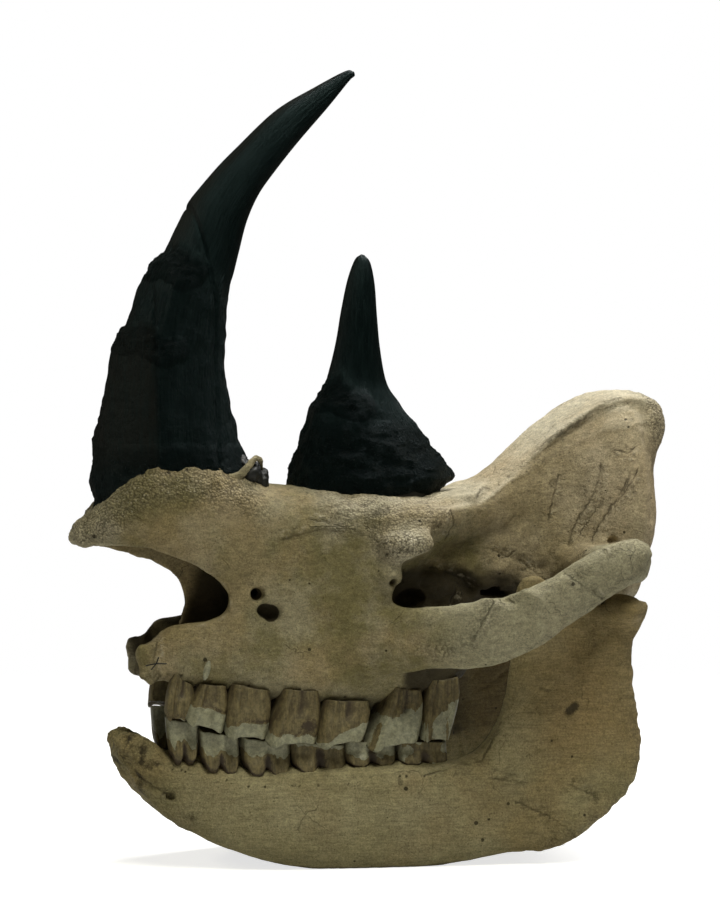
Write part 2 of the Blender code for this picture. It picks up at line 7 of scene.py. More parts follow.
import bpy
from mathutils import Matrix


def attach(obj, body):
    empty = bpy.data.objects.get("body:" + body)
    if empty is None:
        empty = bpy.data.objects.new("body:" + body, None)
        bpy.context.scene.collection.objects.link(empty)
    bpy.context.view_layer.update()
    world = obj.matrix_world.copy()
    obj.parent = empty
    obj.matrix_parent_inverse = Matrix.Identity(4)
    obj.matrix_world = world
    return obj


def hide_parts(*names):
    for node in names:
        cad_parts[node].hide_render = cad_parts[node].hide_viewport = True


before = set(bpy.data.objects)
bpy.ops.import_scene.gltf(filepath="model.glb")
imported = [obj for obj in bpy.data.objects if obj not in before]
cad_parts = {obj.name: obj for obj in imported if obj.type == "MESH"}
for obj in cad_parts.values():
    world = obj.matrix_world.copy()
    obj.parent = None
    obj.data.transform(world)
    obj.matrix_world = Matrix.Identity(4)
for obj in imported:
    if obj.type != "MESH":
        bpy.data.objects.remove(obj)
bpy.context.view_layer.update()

import logging
import math
from dataclasses import dataclass, field
from enum import Enum
from typing import ClassVar, Sequence

import bmesh
import bpy
import numpy as np
from mathutils import Matrix, Vector
from mathutils.bvhtree import BVHTree
from mathutils.kdtree import KDTree

logging.basicConfig(level=logging.INFO, format="%(name)s: %(message)s")
LOG = logging.getLogger("skull")

Points = np.ndarray
Stations = Sequence[Sequence[float]]

# How far the row frame's origin lies from the point where the forms are measured
ORIGIN_X = 0.00706
# Grid on which forms are fused, and the finer grid of the finished bone
COARSE_GRID = 0.004
FINE_GRID = 0.0021
ROUNDING = 6
# How far the relief may move the bone inward and outward
RELIEF_RANGE = (-0.0045, 0.0055)
# Half width of the cut that opens the nose, and half thickness of the jaw's blank
NOTCH_HALF_WIDTH = 0.12
BLANK_HALF = 0.012
SEED = 7

ROOF = [
    (-0.274, 0.314, 0.300, 0.012, 0.012),
    (-0.266, 0.326, 0.292, 0.034, 0.034),
    (-0.250, 0.346, 0.288, 0.052, 0.050),
    (-0.232, 0.369, 0.284, 0.064, 0.057),
    (-0.210, 0.382, 0.280, 0.070, 0.062),
    (-0.180, 0.384, 0.262, 0.0735, 0.066),
    (-0.145, 0.380, 0.245, 0.0740, 0.068),
    (-0.120, 0.370, 0.242, 0.0725, 0.069),
    (-0.095, 0.3565, 0.240, 0.070, 0.070),
    (-0.050, 0.353, 0.240, 0.074, 0.074),
    (-0.010, 0.349, 0.250, 0.088, 0.080),
    (0.020, 0.345, 0.272, 0.103, 0.086),
    (0.050, 0.343, 0.288, 0.098, 0.074),
    (0.080, 0.347, 0.290, 0.078, 0.060),
    (0.115, 0.355, 0.300, 0.060, 0.054),
    (0.163, 0.386, 0.310, 0.047, 0.058),
    (0.205, 0.420, 0.320, 0.048, 0.066),
    (0.240, 0.440, 0.330, 0.064, 0.078),
    (0.260, 0.445, 0.345, 0.078, 0.082),
    (0.277, 0.441, 0.372, 0.084, 0.078),
    (0.288, 0.424, 0.392, 0.070, 0.065),
]
CREST_BLOCK = [
    (0.022, 0.335, 0.308, 0.094, 0.084),
    (0.048, 0.338, 0.306, 0.088, 0.076),
    (0.080, 0.3455, 0.312, 0.064, 0.054),
    (0.115, 0.3535, 0.320, 0.0515, 0.045),
    (0.163, 0.3850, 0.352, 0.0480, 0.042),
    (0.205, 0.4185, 0.386, 0.0490, 0.044),
    (0.236, 0.4350, 0.402, 0.0600, 0.054),
    (0.258, 0.4400, 0.408, 0.0740, 0.066),
    (0.274, 0.4340, 0.404, 0.0790, 0.070),
]
UPPER_FACE = [
    (-0.165, 0.330, 0.200, 0.060, 0.054),
    (-0.120, 0.335, 0.190, 0.066, 0.064),
    (-0.080, 0.335, 0.180, 0.069, 0.070),
    (-0.040, 0.330, 0.180, 0.078, 0.078),
    (-0.012, 0.322, 0.180, 0.092, 0.086),
    (0.006, 0.312, 0.190, 0.098, 0.088),
]
LOWER_FACE = [
    (-0.205, 0.216, 0.178, 0.034, 0.034),
    (-0.190, 0.231, 0.170, 0.046, 0.047),
    (-0.160, 0.240, 0.166, 0.054, 0.056),
    (-0.120, 0.250, 0.158, 0.064, 0.064),
    (-0.075, 0.250, 0.151, 0.072, 0.073),
    (-0.030, 0.250, 0.145, 0.080, 0.079),
    (0.020, 0.245, 0.148, 0.084, 0.081),
    (0.060, 0.235, 0.156, 0.078, 0.078),
    (0.088, 0.225, 0.168, 0.060, 0.066),
]
BRAINCASE = [
    (-0.020, 0.330, 0.215, 0.060, 0.050),
    (0.030, 0.330, 0.210, 0.060, 0.048),
    (0.075, 0.345, 0.222, 0.052, 0.044),
    (0.115, 0.355, 0.228, 0.047, 0.050),
    (0.160, 0.385, 0.230, 0.044, 0.064),
    (0.205, 0.410, 0.232, 0.050, 0.078),
    (0.240, 0.420, 0.234, 0.070, 0.088),
    (0.265, 0.410, 0.238, 0.070, 0.074),
    (0.278, 0.390, 0.250, 0.050, 0.045),
]
OCCIPUT = [
    (0.205, 0.400, 0.270, 0.058, 0.085),
    (0.225, 0.425, 0.266, 0.075, 0.108),
    (0.242, 0.435, 0.264, 0.088, 0.120),
    (0.258, 0.435, 0.262, 0.090, 0.108),
    (0.270, 0.430, 0.268, 0.084, 0.070),
    (0.280, 0.420, 0.300, 0.070, 0.045),
]
NASAL_CAVITY = [
    (-0.262, 0.302, 0.280, 0.020, 0.020),
    (-0.235, 0.322, 0.240, 0.047, 0.044),
    (-0.190, 0.332, 0.214, 0.060, 0.040),
    (-0.140, 0.330, 0.209, 0.0615, 0.045),
    (-0.090, 0.320, 0.209, 0.056, 0.043),
    (-0.040, 0.310, 0.214, 0.047, 0.038),
    (0.010, 0.290, 0.226, 0.030, 0.028),
]
NOSE_FLOOR = [
    (-0.240, 0.262, 0.200, 0.010, 0.008),
    (-0.222, 0.262, 0.198, 0.022, 0.012),
    (-0.205, 0.262, 0.198, 0.030, 0.018),
    (-0.180, 0.262, 0.203, 0.040, 0.024),
    (-0.155, 0.262, 0.212, 0.048, 0.030),
]
PALATE_VAULT = [
    (-0.240, 0.194, 0.100, 0.010, 0.012),
    (-0.190, 0.196, 0.100, 0.018, 0.020),
    (-0.120, 0.196, 0.100, 0.026, 0.030),
    (-0.040, 0.196, 0.100, 0.032, 0.036),
    (0.040, 0.206, 0.100, 0.034, 0.040),
    (0.110, 0.210, 0.100, 0.034, 0.040),
]
SWEEPS = {
    "cheek_arch": [
        (-0.030, -0.070, 0.212, 0.034, 0.016),
        (0.005, -0.090, 0.212, 0.033, 0.016),
        (0.035, -0.114, 0.216, 0.029, 0.014),
        (0.075, -0.137, 0.220, 0.032, 0.0135),
        (0.112, -0.149, 0.232, 0.028, 0.013),
        (0.150, -0.154, 0.252, 0.0245, 0.013),
        (0.187, -0.152, 0.2735, 0.024, 0.014),
        (0.215, -0.142, 0.283, 0.022, 0.016),
        (0.238, -0.116, 0.283, 0.022, 0.016),
    ],
    "jaw_socket": [
        (0.205, -0.050, 0.276, 0.022, 0.030),
        (0.208, -0.095, 0.280, 0.019, 0.027),
        (0.212, -0.140, 0.284, 0.018, 0.020),
    ],
    "socket_spur": [
        (0.220, -0.058, 0.272, 0.016, 0.016),
        (0.224, -0.058, 0.245, 0.011, 0.012),
        (0.226, -0.060, 0.220, 0.007, 0.007),
    ],
    "neck_spur": [
        (0.242, -0.060, 0.270, 0.016, 0.014),
        (0.240, -0.058, 0.240, 0.011, 0.010),
        (0.236, -0.056, 0.208, 0.006, 0.006),
    ],
    "pterygoid": [
        (0.070, -0.042, 0.225, 0.014, 0.012),
        (0.092, -0.038, 0.205, 0.014, 0.008),
        (0.108, -0.034, 0.182, 0.010, 0.006),
    ],
    "premaxilla": [
        (-0.180, -0.036, 0.198, 0.024, 0.012),
        (-0.203, -0.029, 0.192, 0.018, 0.011),
        (-0.212, -0.024, 0.190, 0.014, 0.009),
    ],
    "nose_rim": [
        (-0.1930, -0.0300, 0.2110, 0.0050, 0.0050),
        (-0.1870, -0.0350, 0.2205, 0.0050, 0.0050),
        (-0.1770, -0.0390, 0.2270, 0.0050, 0.0050),
        (-0.1640, -0.0430, 0.2300, 0.0050, 0.0050),
    ],
}
KNOBS = [
    ((0.012, -0.096, 0.298), (0.020, 0.014, 0.013)),
    ((0.002, -0.094, 0.272), (0.013, 0.012, 0.012)),
    ((0.080, -0.139, 0.244), (0.012, 0.010, 0.011)),
    ((0.254, -0.034, 0.264), (0.023, 0.025, 0.030)),
    ((-0.2160, -0.0240, 0.1995), (0.0085, 0.0110, 0.0125)),
    ((-0.2130, -0.0310, 0.1985), (0.0105, 0.0095, 0.0130)),
    ((-0.2110, -0.0300, 0.1815), (0.0115, 0.0095, 0.0110)),
    ((-0.2690, -0.0150, 0.3020), (0.0060, 0.0120, 0.0085)),
    ((-0.2690, -0.0040, 0.3120), (0.0095, 0.0180, 0.0125)),
    ((-0.2780, -0.0080, 0.3050), (0.0050, 0.0050, 0.0040)),
    ((0.2280, -0.1360, 0.2900), (0.0130, 0.0170, 0.0150)),
    ((0.0330, -0.0960, 0.3020), (0.0110, 0.0120, 0.0110)),
]
NOSE_NOTCH = [
    (-0.330, 0.292),
    (-0.285, 0.293),
    (-0.262, 0.299),
    (-0.235, 0.300),
    (-0.2095, 0.2952),
    (-0.1733, 0.2811),
    (-0.149, 0.2644),
    (-0.1415, 0.2477),
    (-0.148, 0.235),
    (-0.165, 0.2285),
    (-0.190, 0.2275),
    (-0.204, 0.222),
    (-0.213, 0.213),
    (-0.230, 0.212),
    (-0.330, 0.212),
]
PARTITION = [
    (-0.2584, 0.3013),
    (-0.2378, 0.2944),
    (-0.2113, 0.2865),
    (-0.1971, 0.2806),
    (-0.1856, 0.2728),
    (-0.1761, 0.2623),
    (-0.1713, 0.2509),
    (-0.1713, 0.2415),
    (-0.1742, 0.2322),
    (-0.1742, 0.2150),
    (-0.1200, 0.2150),
    (-0.1100, 0.2600),
    (-0.1300, 0.3000),
    (-0.2000, 0.3180),
    (-0.2560, 0.3120),
]
JAW_SIDE = [
    (-0.2420, 0.117),
    (-0.237, 0.1255),
    (-0.225, 0.126),
    (-0.205, 0.117),
    (-0.190, 0.104),
    (-0.140, 0.094),
    (-0.060, 0.0925),
    (0.000, 0.095),
    (0.056, 0.095),
    (0.090, 0.105),
    (0.112, 0.140),
    (0.119, 0.182),
    (0.122, 0.232),
    (0.129, 0.264),
    (0.141, 0.2715),
    (0.155, 0.264),
    (0.170, 0.246),
    (0.184, 0.240),
    (0.200, 0.243),
    (0.236, 0.244),
    (0.2485, 0.2435),
    (0.242, 0.222),
    (0.2330, 0.1996),
    (0.2350, 0.1527),
    (0.2405, 0.115),
    (0.2320, 0.075),
    (0.203, 0.041),
    (0.157, 0.0145),
    (0.117, 0.0095),
    (0.061, 0.0000),
    (0.001, -0.0035),
    (-0.076, 0.0005),
    (-0.1215, 0.0115),
    (-0.1665, 0.0300),
    (-0.2085, 0.0580),
    (-0.232, 0.0960),
]
JAW_PLAN = [
    (-0.250, 0.018, 0.016),
    (-0.200, 0.024, 0.020),
    (-0.150, 0.036, 0.022),
    (-0.100, 0.048, 0.022),
    (-0.050, 0.056, 0.0225),
    (0.000, 0.063, 0.023),
    (0.050, 0.071, 0.023),
    (0.100, 0.084, 0.019),
    (0.150, 0.100, 0.0125),
    (0.200, 0.112, 0.013),
    (0.250, 0.117, 0.015),
]
JAW_EDGE_RADIUS = 0.020
JAW_CONDYLE = ((0.224, -0.112, 0.238), (0.017, 0.037, 0.014))
SYMPHYSIS = [
    (-0.239, 0.121, 0.100, 0.026, 0.020),
    (-0.228, 0.120, 0.079, 0.033, 0.026),
    (-0.200, 0.104, 0.053, 0.034, 0.028),
    (-0.165, 0.088, 0.036, 0.034, 0.026),
    (-0.135, 0.074, 0.028, 0.030, 0.020),
]
# Horn sections: front edge (x, z), back edge (x, z) and half width
FRONT_HORN = [
    ((-0.2580, 0.320), (-0.0960, 0.335), 0.058),
    ((-0.2584, 0.3413), (-0.0985, 0.3600), 0.059),
    ((-0.2566, 0.3832), (-0.1185, 0.3900), 0.057),
    ((-0.2472, 0.4362), (-0.1299, 0.4249), 0.051),
    ((-0.2406, 0.4623), (-0.1335, 0.4480), 0.048),
    ((-0.2312, 0.4951), (-0.1357, 0.4700), 0.045),
    ((-0.2226, 0.5138), (-0.1357, 0.4900), 0.043),
    ((-0.2140, 0.5373), (-0.1337, 0.5150), 0.041),
    ((-0.2002, 0.5637), (-0.1305, 0.5350), 0.038),
    ((-0.1907, 0.5732), (-0.1280, 0.5480), 0.0365),
    ((-0.1798, 0.5959), (-0.1212, 0.5720), 0.034),
    ((-0.1655, 0.6226), (-0.1132, 0.6020), 0.031),
    ((-0.1444, 0.6495), (-0.1022, 0.6270), 0.0275),
    ((-0.1202, 0.6748), (-0.0877, 0.6480), 0.024),
    ((-0.0832, 0.7101), (-0.0622, 0.6800), 0.019),
    ((-0.0452, 0.7335), (-0.0315, 0.7155), 0.0125),
    ((-0.0150, 0.7500), (-0.0115, 0.7400), 0.0055),
    ((-0.0065, 0.7500), (-0.0055, 0.7455), 0.0025),
]
REAR_HORN = [
    ((-0.067, 0.328), (0.082, 0.352), 0.050),
    ((-0.0705, 0.3500), (0.0915, 0.3620), 0.0535),
    ((-0.0665, 0.3740), (0.0850, 0.3755), 0.049),
    ((-0.0566, 0.4010), (0.0706, 0.3908), 0.043),
    ((-0.0497, 0.4249), (0.0503, 0.4151), 0.036),
    ((-0.0378, 0.4421), (0.0352, 0.4344), 0.029),
    ((-0.0299, 0.4632), (0.0251, 0.4520), 0.0235),
    ((-0.0229, 0.4919), (0.0191, 0.4826), 0.0205),
    ((-0.0180, 0.5208), (0.0160, 0.5150), 0.018),
    ((-0.0120, 0.5496), (0.0140, 0.5450), 0.0135),
    ((-0.0050, 0.5690), (0.0100, 0.5660), 0.0078),
    ((0.0010, 0.5745), (0.0045, 0.5735), 0.0022),
]


def smoothstep(low: float, high: float, value: Points) -> Points:
    """Rises smoothly from 0 at low to 1 at high.

    Args:
        low: value where the rise starts.
        high: value where it ends, which may be below low.
        value: numbers to map.

    Returns:
        Numbers from 0 to 1.
    """
    share = np.clip((value - low) / (high - low), 0, 1)
    return share * share * (3 - 2 * share)


def lattice(cells: Points, seed: int) -> Points:
    """A fixed pseudo-random number from 0 to 1 for each whole-numbered cell."""
    cell = cells.astype(np.int64)
    mixed = cell[..., 0] * 73856093 ^ cell[..., 1] * 19349663 ^ cell[..., 2] * 83492791
    mixed = (mixed ^ (seed * 2654435761)) & 0xFFFFFFFF
    mixed = ((mixed ^ (mixed >> 13)) * 1274126177) & 0xFFFFFFFF
    return ((mixed ^ (mixed >> 16)) & 0xFFFFFFFF) / 0xFFFFFFFF


def noise(points: Points, size: float, seed: int, octaves: int = 3) -> Points:
    """Smooth layered noise.

    Args:
        points: rows of three coordinates.
        size: width of the largest lumps.
        seed: picks the pattern.
        octaves: layers, each half as wide and half as strong as the one before.

    Returns:
        One value from about -1 to 1 a point.
    """
    total, strength, reach = np.zeros(len(points)), 1.0, 0.0
    for octave in range(octaves):
        scaled = points / size * 2**octave
        base = np.floor(scaled)
        part = scaled - base
        part = part * part * (3 - 2 * part)
        value = np.zeros(len(points))
        for corner in range(8):
            step = np.array([corner & 1, corner >> 1 & 1, corner >> 2 & 1])
            weight = np.where(step, part, 1 - part).prod(axis=1)
            value += weight * lattice(base + step, seed + 17 * octave)
        total += strength * (2 * value - 1)
        reach += strength
        strength /= 2
    return total / reach * 1.6


def pebbles(points: Points, size: float, seed: int) -> Points:
    """Distance to the nearest of scattered points, in cell widths."""
    scaled = points / size
    base = np.floor(scaled)
    nearest = np.full(len(points), 9.0)
    for number in range(27):
        step = np.array([number % 3 - 1, number // 3 % 3 - 1, number // 9 - 1])
        cell = base + step
        spot = np.stack([lattice(cell, seed + k) for k in range(3)], axis=1)
        nearest = np.minimum(nearest, np.linalg.norm(cell + spot - scaled, axis=1))
    return nearest


def smooth_through(stations: Stations, steps: int) -> Points:
    """Rows on a smooth curve through the stations, with so many steps between each pair."""
    rows = np.array(stations, float)
    padded = np.vstack([2 * rows[0] - rows[1], rows, 2 * rows[-1] - rows[-2]])
    made = []
    for before, start, end, after in zip(padded, padded[1:], padded[2:], padded[3:]):
        for step in range(steps):
            t = step / steps
            made.append(
                start
                + (end - before) * t / 2
                + (2 * before - 5 * start + 4 * end - after) * t**2 / 2
                + (3 * start - before - 3 * end + after) * t**3 / 2
            )
    made.append(rows[-1])
    return np.array(made)


def value_at(stations: Stations, x: Points, column: int) -> Points:
    """The column's value at x on a smooth curve through the stations."""
    fine = smooth_through(stations, 8)
    return np.interp(x, fine[:, 0], fine[:, column])


def line_distance(points: Points, line: Stations) -> Points:
    """Distance from each point to a line through the given corners, in any number of dimensions."""
    corners = np.array(line, float)
    best = np.full(len(points), 9.0)
    for start, end in zip(corners, corners[1:]):
        run = end - start
        share = np.clip(((points - start) @ run) / (run @ run), 0, 1)
        best = np.minimum(best, np.linalg.norm(points - start - share[:, None] * run, axis=1))
    return best


def rounded_ring(sides: int, power: float) -> tuple[Points, Points]:
    """Unit points round a superellipse: nearly a square at a high power, a circle at 2."""
    angles = np.arange(sides) * 2 * math.pi / sides
    across, up = np.cos(angles), np.sin(angles)
    return (
        np.sign(across) * abs(across) ** (2 / power),
        np.sign(up) * abs(up) ** (2 / power),
    )


def face_outward(mesh: bpy.types.Mesh, weld: float = 0.0) -> None:
    """Turns a closed mesh's faces outward.

    Args:
        mesh: the mesh.
        weld: distance within which its points are joined first.
    """
    form = bmesh.new()
    form.from_mesh(mesh)
    if weld:
        bmesh.ops.remove_doubles(form, verts=form.verts, dist=weld)
    bmesh.ops.recalc_face_normals(form, faces=form.faces)
    form.to_mesh(mesh)
    form.free()


@dataclass
class Shell:
    """Points and faces of a closed form, before it becomes an object."""

    points: Points
    faces: list[tuple[int, ...]]

    @classmethod
    def of_rings(cls, rings: Sequence[Points], capped: bool = True) -> "Shell":
        """A form through rings of equally many points."""
        count = len(rings[0])
        faces = []
        for row in range(len(rings) - 1):
            for k in range(count):
                near, start = (k + 1) % count, row * count
                faces.append((start + k, start + near, start + count + near, start + count + k))
        if capped:
            faces.append(tuple(range(count))[::-1])
            faces.append(tuple(range((len(rings) - 1) * count, len(rings) * count)))
        return cls(np.vstack(rings), faces)

    def mirrored(self) -> "Shell":
        """The same form on the other side of the midline."""
        return Shell(self.points * (1, -1, 1), [face[::-1] for face in self.faces])

    @staticmethod
    def joined(shells: Sequence["Shell"]) -> "Shell":
        """Several forms as one, not fused."""
        points, faces, start = [], [], 0
        for shell in shells:
            points.append(shell.points)
            faces += [tuple(start + corner for corner in face) for face in shell.faces]
            start += len(shell.points)
        return Shell(np.vstack(points), faces)

    def as_object(self, name: str) -> bpy.types.Object:
        """The form as a mesh object, faces outward."""
        mesh = bpy.data.meshes.new(name)
        mesh.from_pydata(self.points.tolist(), [], self.faces)
        face_outward(mesh)
        return new_object(name, mesh)


def new_object(name: str, mesh: bpy.types.Mesh) -> bpy.types.Object:
    """Links a mesh to the scene as an object."""
    obj = bpy.data.objects.new(name, mesh)
    bpy.context.scene.collection.objects.link(obj)
    return obj


def loft(stations: Stations, power: float = 2.6, sides: int = 28, steps: int = 4) -> Shell:
    """A form along X with upright sections, alike on both sides.

    Args:
        stations: rows of x, top, bottom, half width at the top and at the bottom.
        power: how square the sections are.
        sides: points in a section.
        steps: sections between stations.

    Returns:
        The form.
    """
    across, up = rounded_ring(sides, power)
    rings = []
    for x, top, bottom, wide_top, wide_bottom in smooth_through(stations, steps):
        height = bottom + (up + 1) / 2 * (top - bottom)
        width = wide_bottom + (up + 1) / 2 * (wide_top - wide_bottom)
        rings.append(np.column_stack([np.full(sides, x), across * width, height]))
    return Shell.of_rings(rings)


def sweep(stations: Stations, sides: int = 18, steps: int = 4, power: float = 2.2) -> Shell:
    """A form along a path, from rows of x, y, z, half height and half thickness."""
    path = smooth_through(stations, steps)
    across, up = rounded_ring(sides, power)
    ways = np.gradient(path[:, :3], axis=0)
    rings = []
    for row, way in zip(path, ways):
        ahead = Vector(way).normalized()
        upright = Vector((0, 0, 1)) if abs(ahead.z) < 0.8 else Vector((-1, 0, 0))
        side = ahead.cross(upright).normalized()
        upright = side.cross(ahead)
        rings.append(row[:3] + np.outer(up * row[3], upright) + np.outer(across * row[4], side))
    return Shell.of_rings(rings)


def ellipsoid(centre: Sequence[float], radii: Sequence[float], sides: int = 20) -> Shell:
    """An egg-shaped form."""
    rings = []
    for turn in np.linspace(0.06, math.pi - 0.06, sides // 2 + 2):
        angles = np.arange(sides) * 2 * math.pi / sides
        ring = np.column_stack(
            [np.cos(angles) * math.sin(turn), np.sin(angles) * math.sin(turn), np.full(sides, math.cos(turn))]
        )
        rings.append(np.array(centre) + ring * np.array(radii))
    return Shell.of_rings(rings)


def as_evaluated(obj: bpy.types.Object) -> bpy.types.Mesh:
    """A plain mesh of the object as its modifiers leave it."""
    graph = bpy.context.evaluated_depsgraph_get()
    return bpy.data.meshes.new_from_object(obj.evaluated_get(graph))


def plate(outline: Stations, half_thickness: float) -> bpy.types.Object:
    """A flat plate in the XZ plane from a smooth outline."""
    curve = bpy.data.curves.new("plate", "CURVE")
    curve.dimensions = "2D"
    curve.fill_mode = "BOTH"
    curve.extrude = half_thickness
    closed = smooth_through([*outline, outline[0]], 6)[:-1]
    line = curve.splines.new("POLY")
    line.points.add(len(closed) - 1)
    for point, (x, z) in zip(line.points, closed):
        point.co = (x, z, 0, 1)
    line.use_cyclic_u = True
    flat = new_object("plate", curve)
    flat.matrix_world = Matrix.Rotation(math.pi / 2, 4, "X")
    bpy.context.view_layer.update()
    mesh = as_evaluated(flat)
    mesh.transform(flat.matrix_world)
    face_outward(mesh, weld=1e-6)
    bpy.data.objects.remove(flat)
    return new_object("plate", mesh)


def applied(obj: bpy.types.Object) -> bpy.types.Object:
    """Makes the object's modifiers part of its mesh."""
    bpy.context.view_layer.update()
    mesh = as_evaluated(obj)
    obj.modifiers.clear()
    obj.data = mesh
    return obj


def fused(obj: bpy.types.Object, grid: float) -> bpy.types.Object:
    """Fuses the object's overlapping forms into one surface on a grid."""
    change = obj.modifiers.new("fuse", "REMESH")
    change.mode = "VOXEL"
    change.voxel_size = grid
    return applied(obj)


def rounded(obj: bpy.types.Object, times: int) -> bpy.types.Object:
    """Rounds the creases where forms meet."""
    change = obj.modifiers.new("soften", "SMOOTH")
    change.factor = 0.5
    change.iterations = times
    return applied(obj)


def cut(obj: bpy.types.Object, tool: bpy.types.Object) -> bpy.types.Object:
    """Cuts the tool's form out of the object and removes the tool."""
    change = obj.modifiers.new("cut", "BOOLEAN")
    change.operation = "DIFFERENCE"
    change.solver = "MANIFOLD"
    change.object = tool
    applied(obj)
    bpy.data.objects.remove(tool)
    return obj


def largest(obj: bpy.types.Object) -> bpy.types.Object:
    """Keeps only the largest connected surface."""
    form = bmesh.new()
    form.from_mesh(obj.data)
    unseen = set(form.verts)
    bodies = []
    while unseen:
        body, edge = set(), [unseen.pop()]
        while edge:
            vert = edge.pop()
            body.add(vert)
            for link in vert.link_edges:
                other = link.other_vert(vert)
                if other in unseen:
                    unseen.discard(other)
                    edge.append(other)
        bodies.append(body)
    bodies.sort(key=len, reverse=True)
    for body in bodies[1:]:
        bmesh.ops.delete(form, geom=list(body), context="VERTS")
    form.to_mesh(obj.data)
    form.free()
    return obj


def coordinates(obj: bpy.types.Object) -> Points:
    """The object's points as rows."""
    flat = np.empty(len(obj.data.vertices) * 3)
    obj.data.vertices.foreach_get("co", flat)
    return flat.reshape(-1, 3)


def normals(obj: bpy.types.Object) -> Points:
    """The object's outward directions at its points."""
    flat = np.empty(len(obj.data.vertices) * 3)
    obj.data.vertex_normals.foreach_get("vector", flat)
    return flat.reshape(-1, 3)


def move_points(obj: bpy.types.Object, points: Points) -> None:
    """Puts the object's points where the rows say."""
    obj.data.vertices.foreach_set("co", points.ravel())
    obj.data.update()


def openness(obj: bpy.types.Object, directions: int = 34) -> Points:
    """How open the surroundings are at each point of a surface, from 0 in a hole to 1.

    Args:
        obj: a closed surface.
        directions: rays cast all round.

    Returns:
        One value a point.
    """
    points, facing = coordinates(obj), normals(obj)
    tree = BVHTree.FromPolygons(points.tolist(), [tuple(face.vertices) for face in obj.data.polygons])
    turns = np.arange(directions) * math.pi * (3 - math.sqrt(5))
    heights = 1 - 2 * (np.arange(directions) + 0.5) / directions
    flat = np.sqrt(1 - heights**2)
    ways = np.column_stack([np.cos(turns) * flat, np.sin(turns) * flat, heights])
    slants = facing @ ways.T
    rays = [Vector(way) for way in ways]
    result = np.zeros(len(points))
    for number, (start, slant) in enumerate(zip(points + facing * 0.003, slants)):
        origin = Vector(start)
        seen = total = 0.0
        for way, weight in zip(rays, slant):
            if weight > 0.1:
                total += weight
                if tree.ray_cast(origin, way, 0.15)[0] is None:
                    seen += weight
        result[number] = seen / total if total else 0.0
    return result


def carried_over(values: Points, source: Points, target: Points) -> Points:
    """Values known at the source points, averaged at the target points from the nearest four."""
    tree = KDTree(len(source))
    for number, point in enumerate(source):
        tree.insert(point, number)
    tree.balance()
    carried = np.empty(len(target))
    for number, point in enumerate(target):
        found = tree.find_n(point, 4)
        weights = [1 / (hit[2] + 1e-4) for hit in found]
        carried[number] = sum(values[hit[1]] * weight for hit, weight in zip(found, weights)) / sum(weights)
    return carried


def spot(points: Points, centre: Sequence[float], radii: Sequence[float]) -> Points:
    """A soft spot, 1 at its centre; a radius of 0 leaves that axis out."""
    total = np.zeros(len(points))
    for column, (middle, radius) in enumerate(zip(centre, radii)):
        if radius:
            total += ((points[:, column] - middle) / radius) ** 2
    return np.exp(-total)


def paint(obj: bpy.types.Object, name: str, values: Points) -> None:
    """Stores one number a point under a name that a material reads."""
    layer = obj.data.attributes.new(name, "FLOAT", "POINT")
    layer.data.foreach_set("value", np.clip(values, -1, 1).astype(np.float32))


def grid_size() -> float:
    """The finished bone's grid."""
    return FINE_GRID


def placed(obj: bpy.types.Object, finish: bpy.types.Material) -> bpy.types.Object:
    """Moves a piece into the row frame, smooths its shading and ties it to the skull.

    Args:
        obj: the piece, with its points measured from where the jaw rests.
        finish: its material.

    Returns:
        The piece.
    """
    points = coordinates(obj)
    points[:, 0] -= ORIGIN_X
    points[:, 2] = np.maximum(points[:, 2], 0)
    move_points(obj, points)
    obj.data.materials.clear()
    obj.data.materials.append(finish)
    obj.data.polygons.foreach_set("material_index", [0] * len(obj.data.polygons))
    obj.data.shade_smooth()
    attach(obj, "root")
    LOG.info("%s: %d faces", obj.name, len(obj.data.polygons))
    return obj


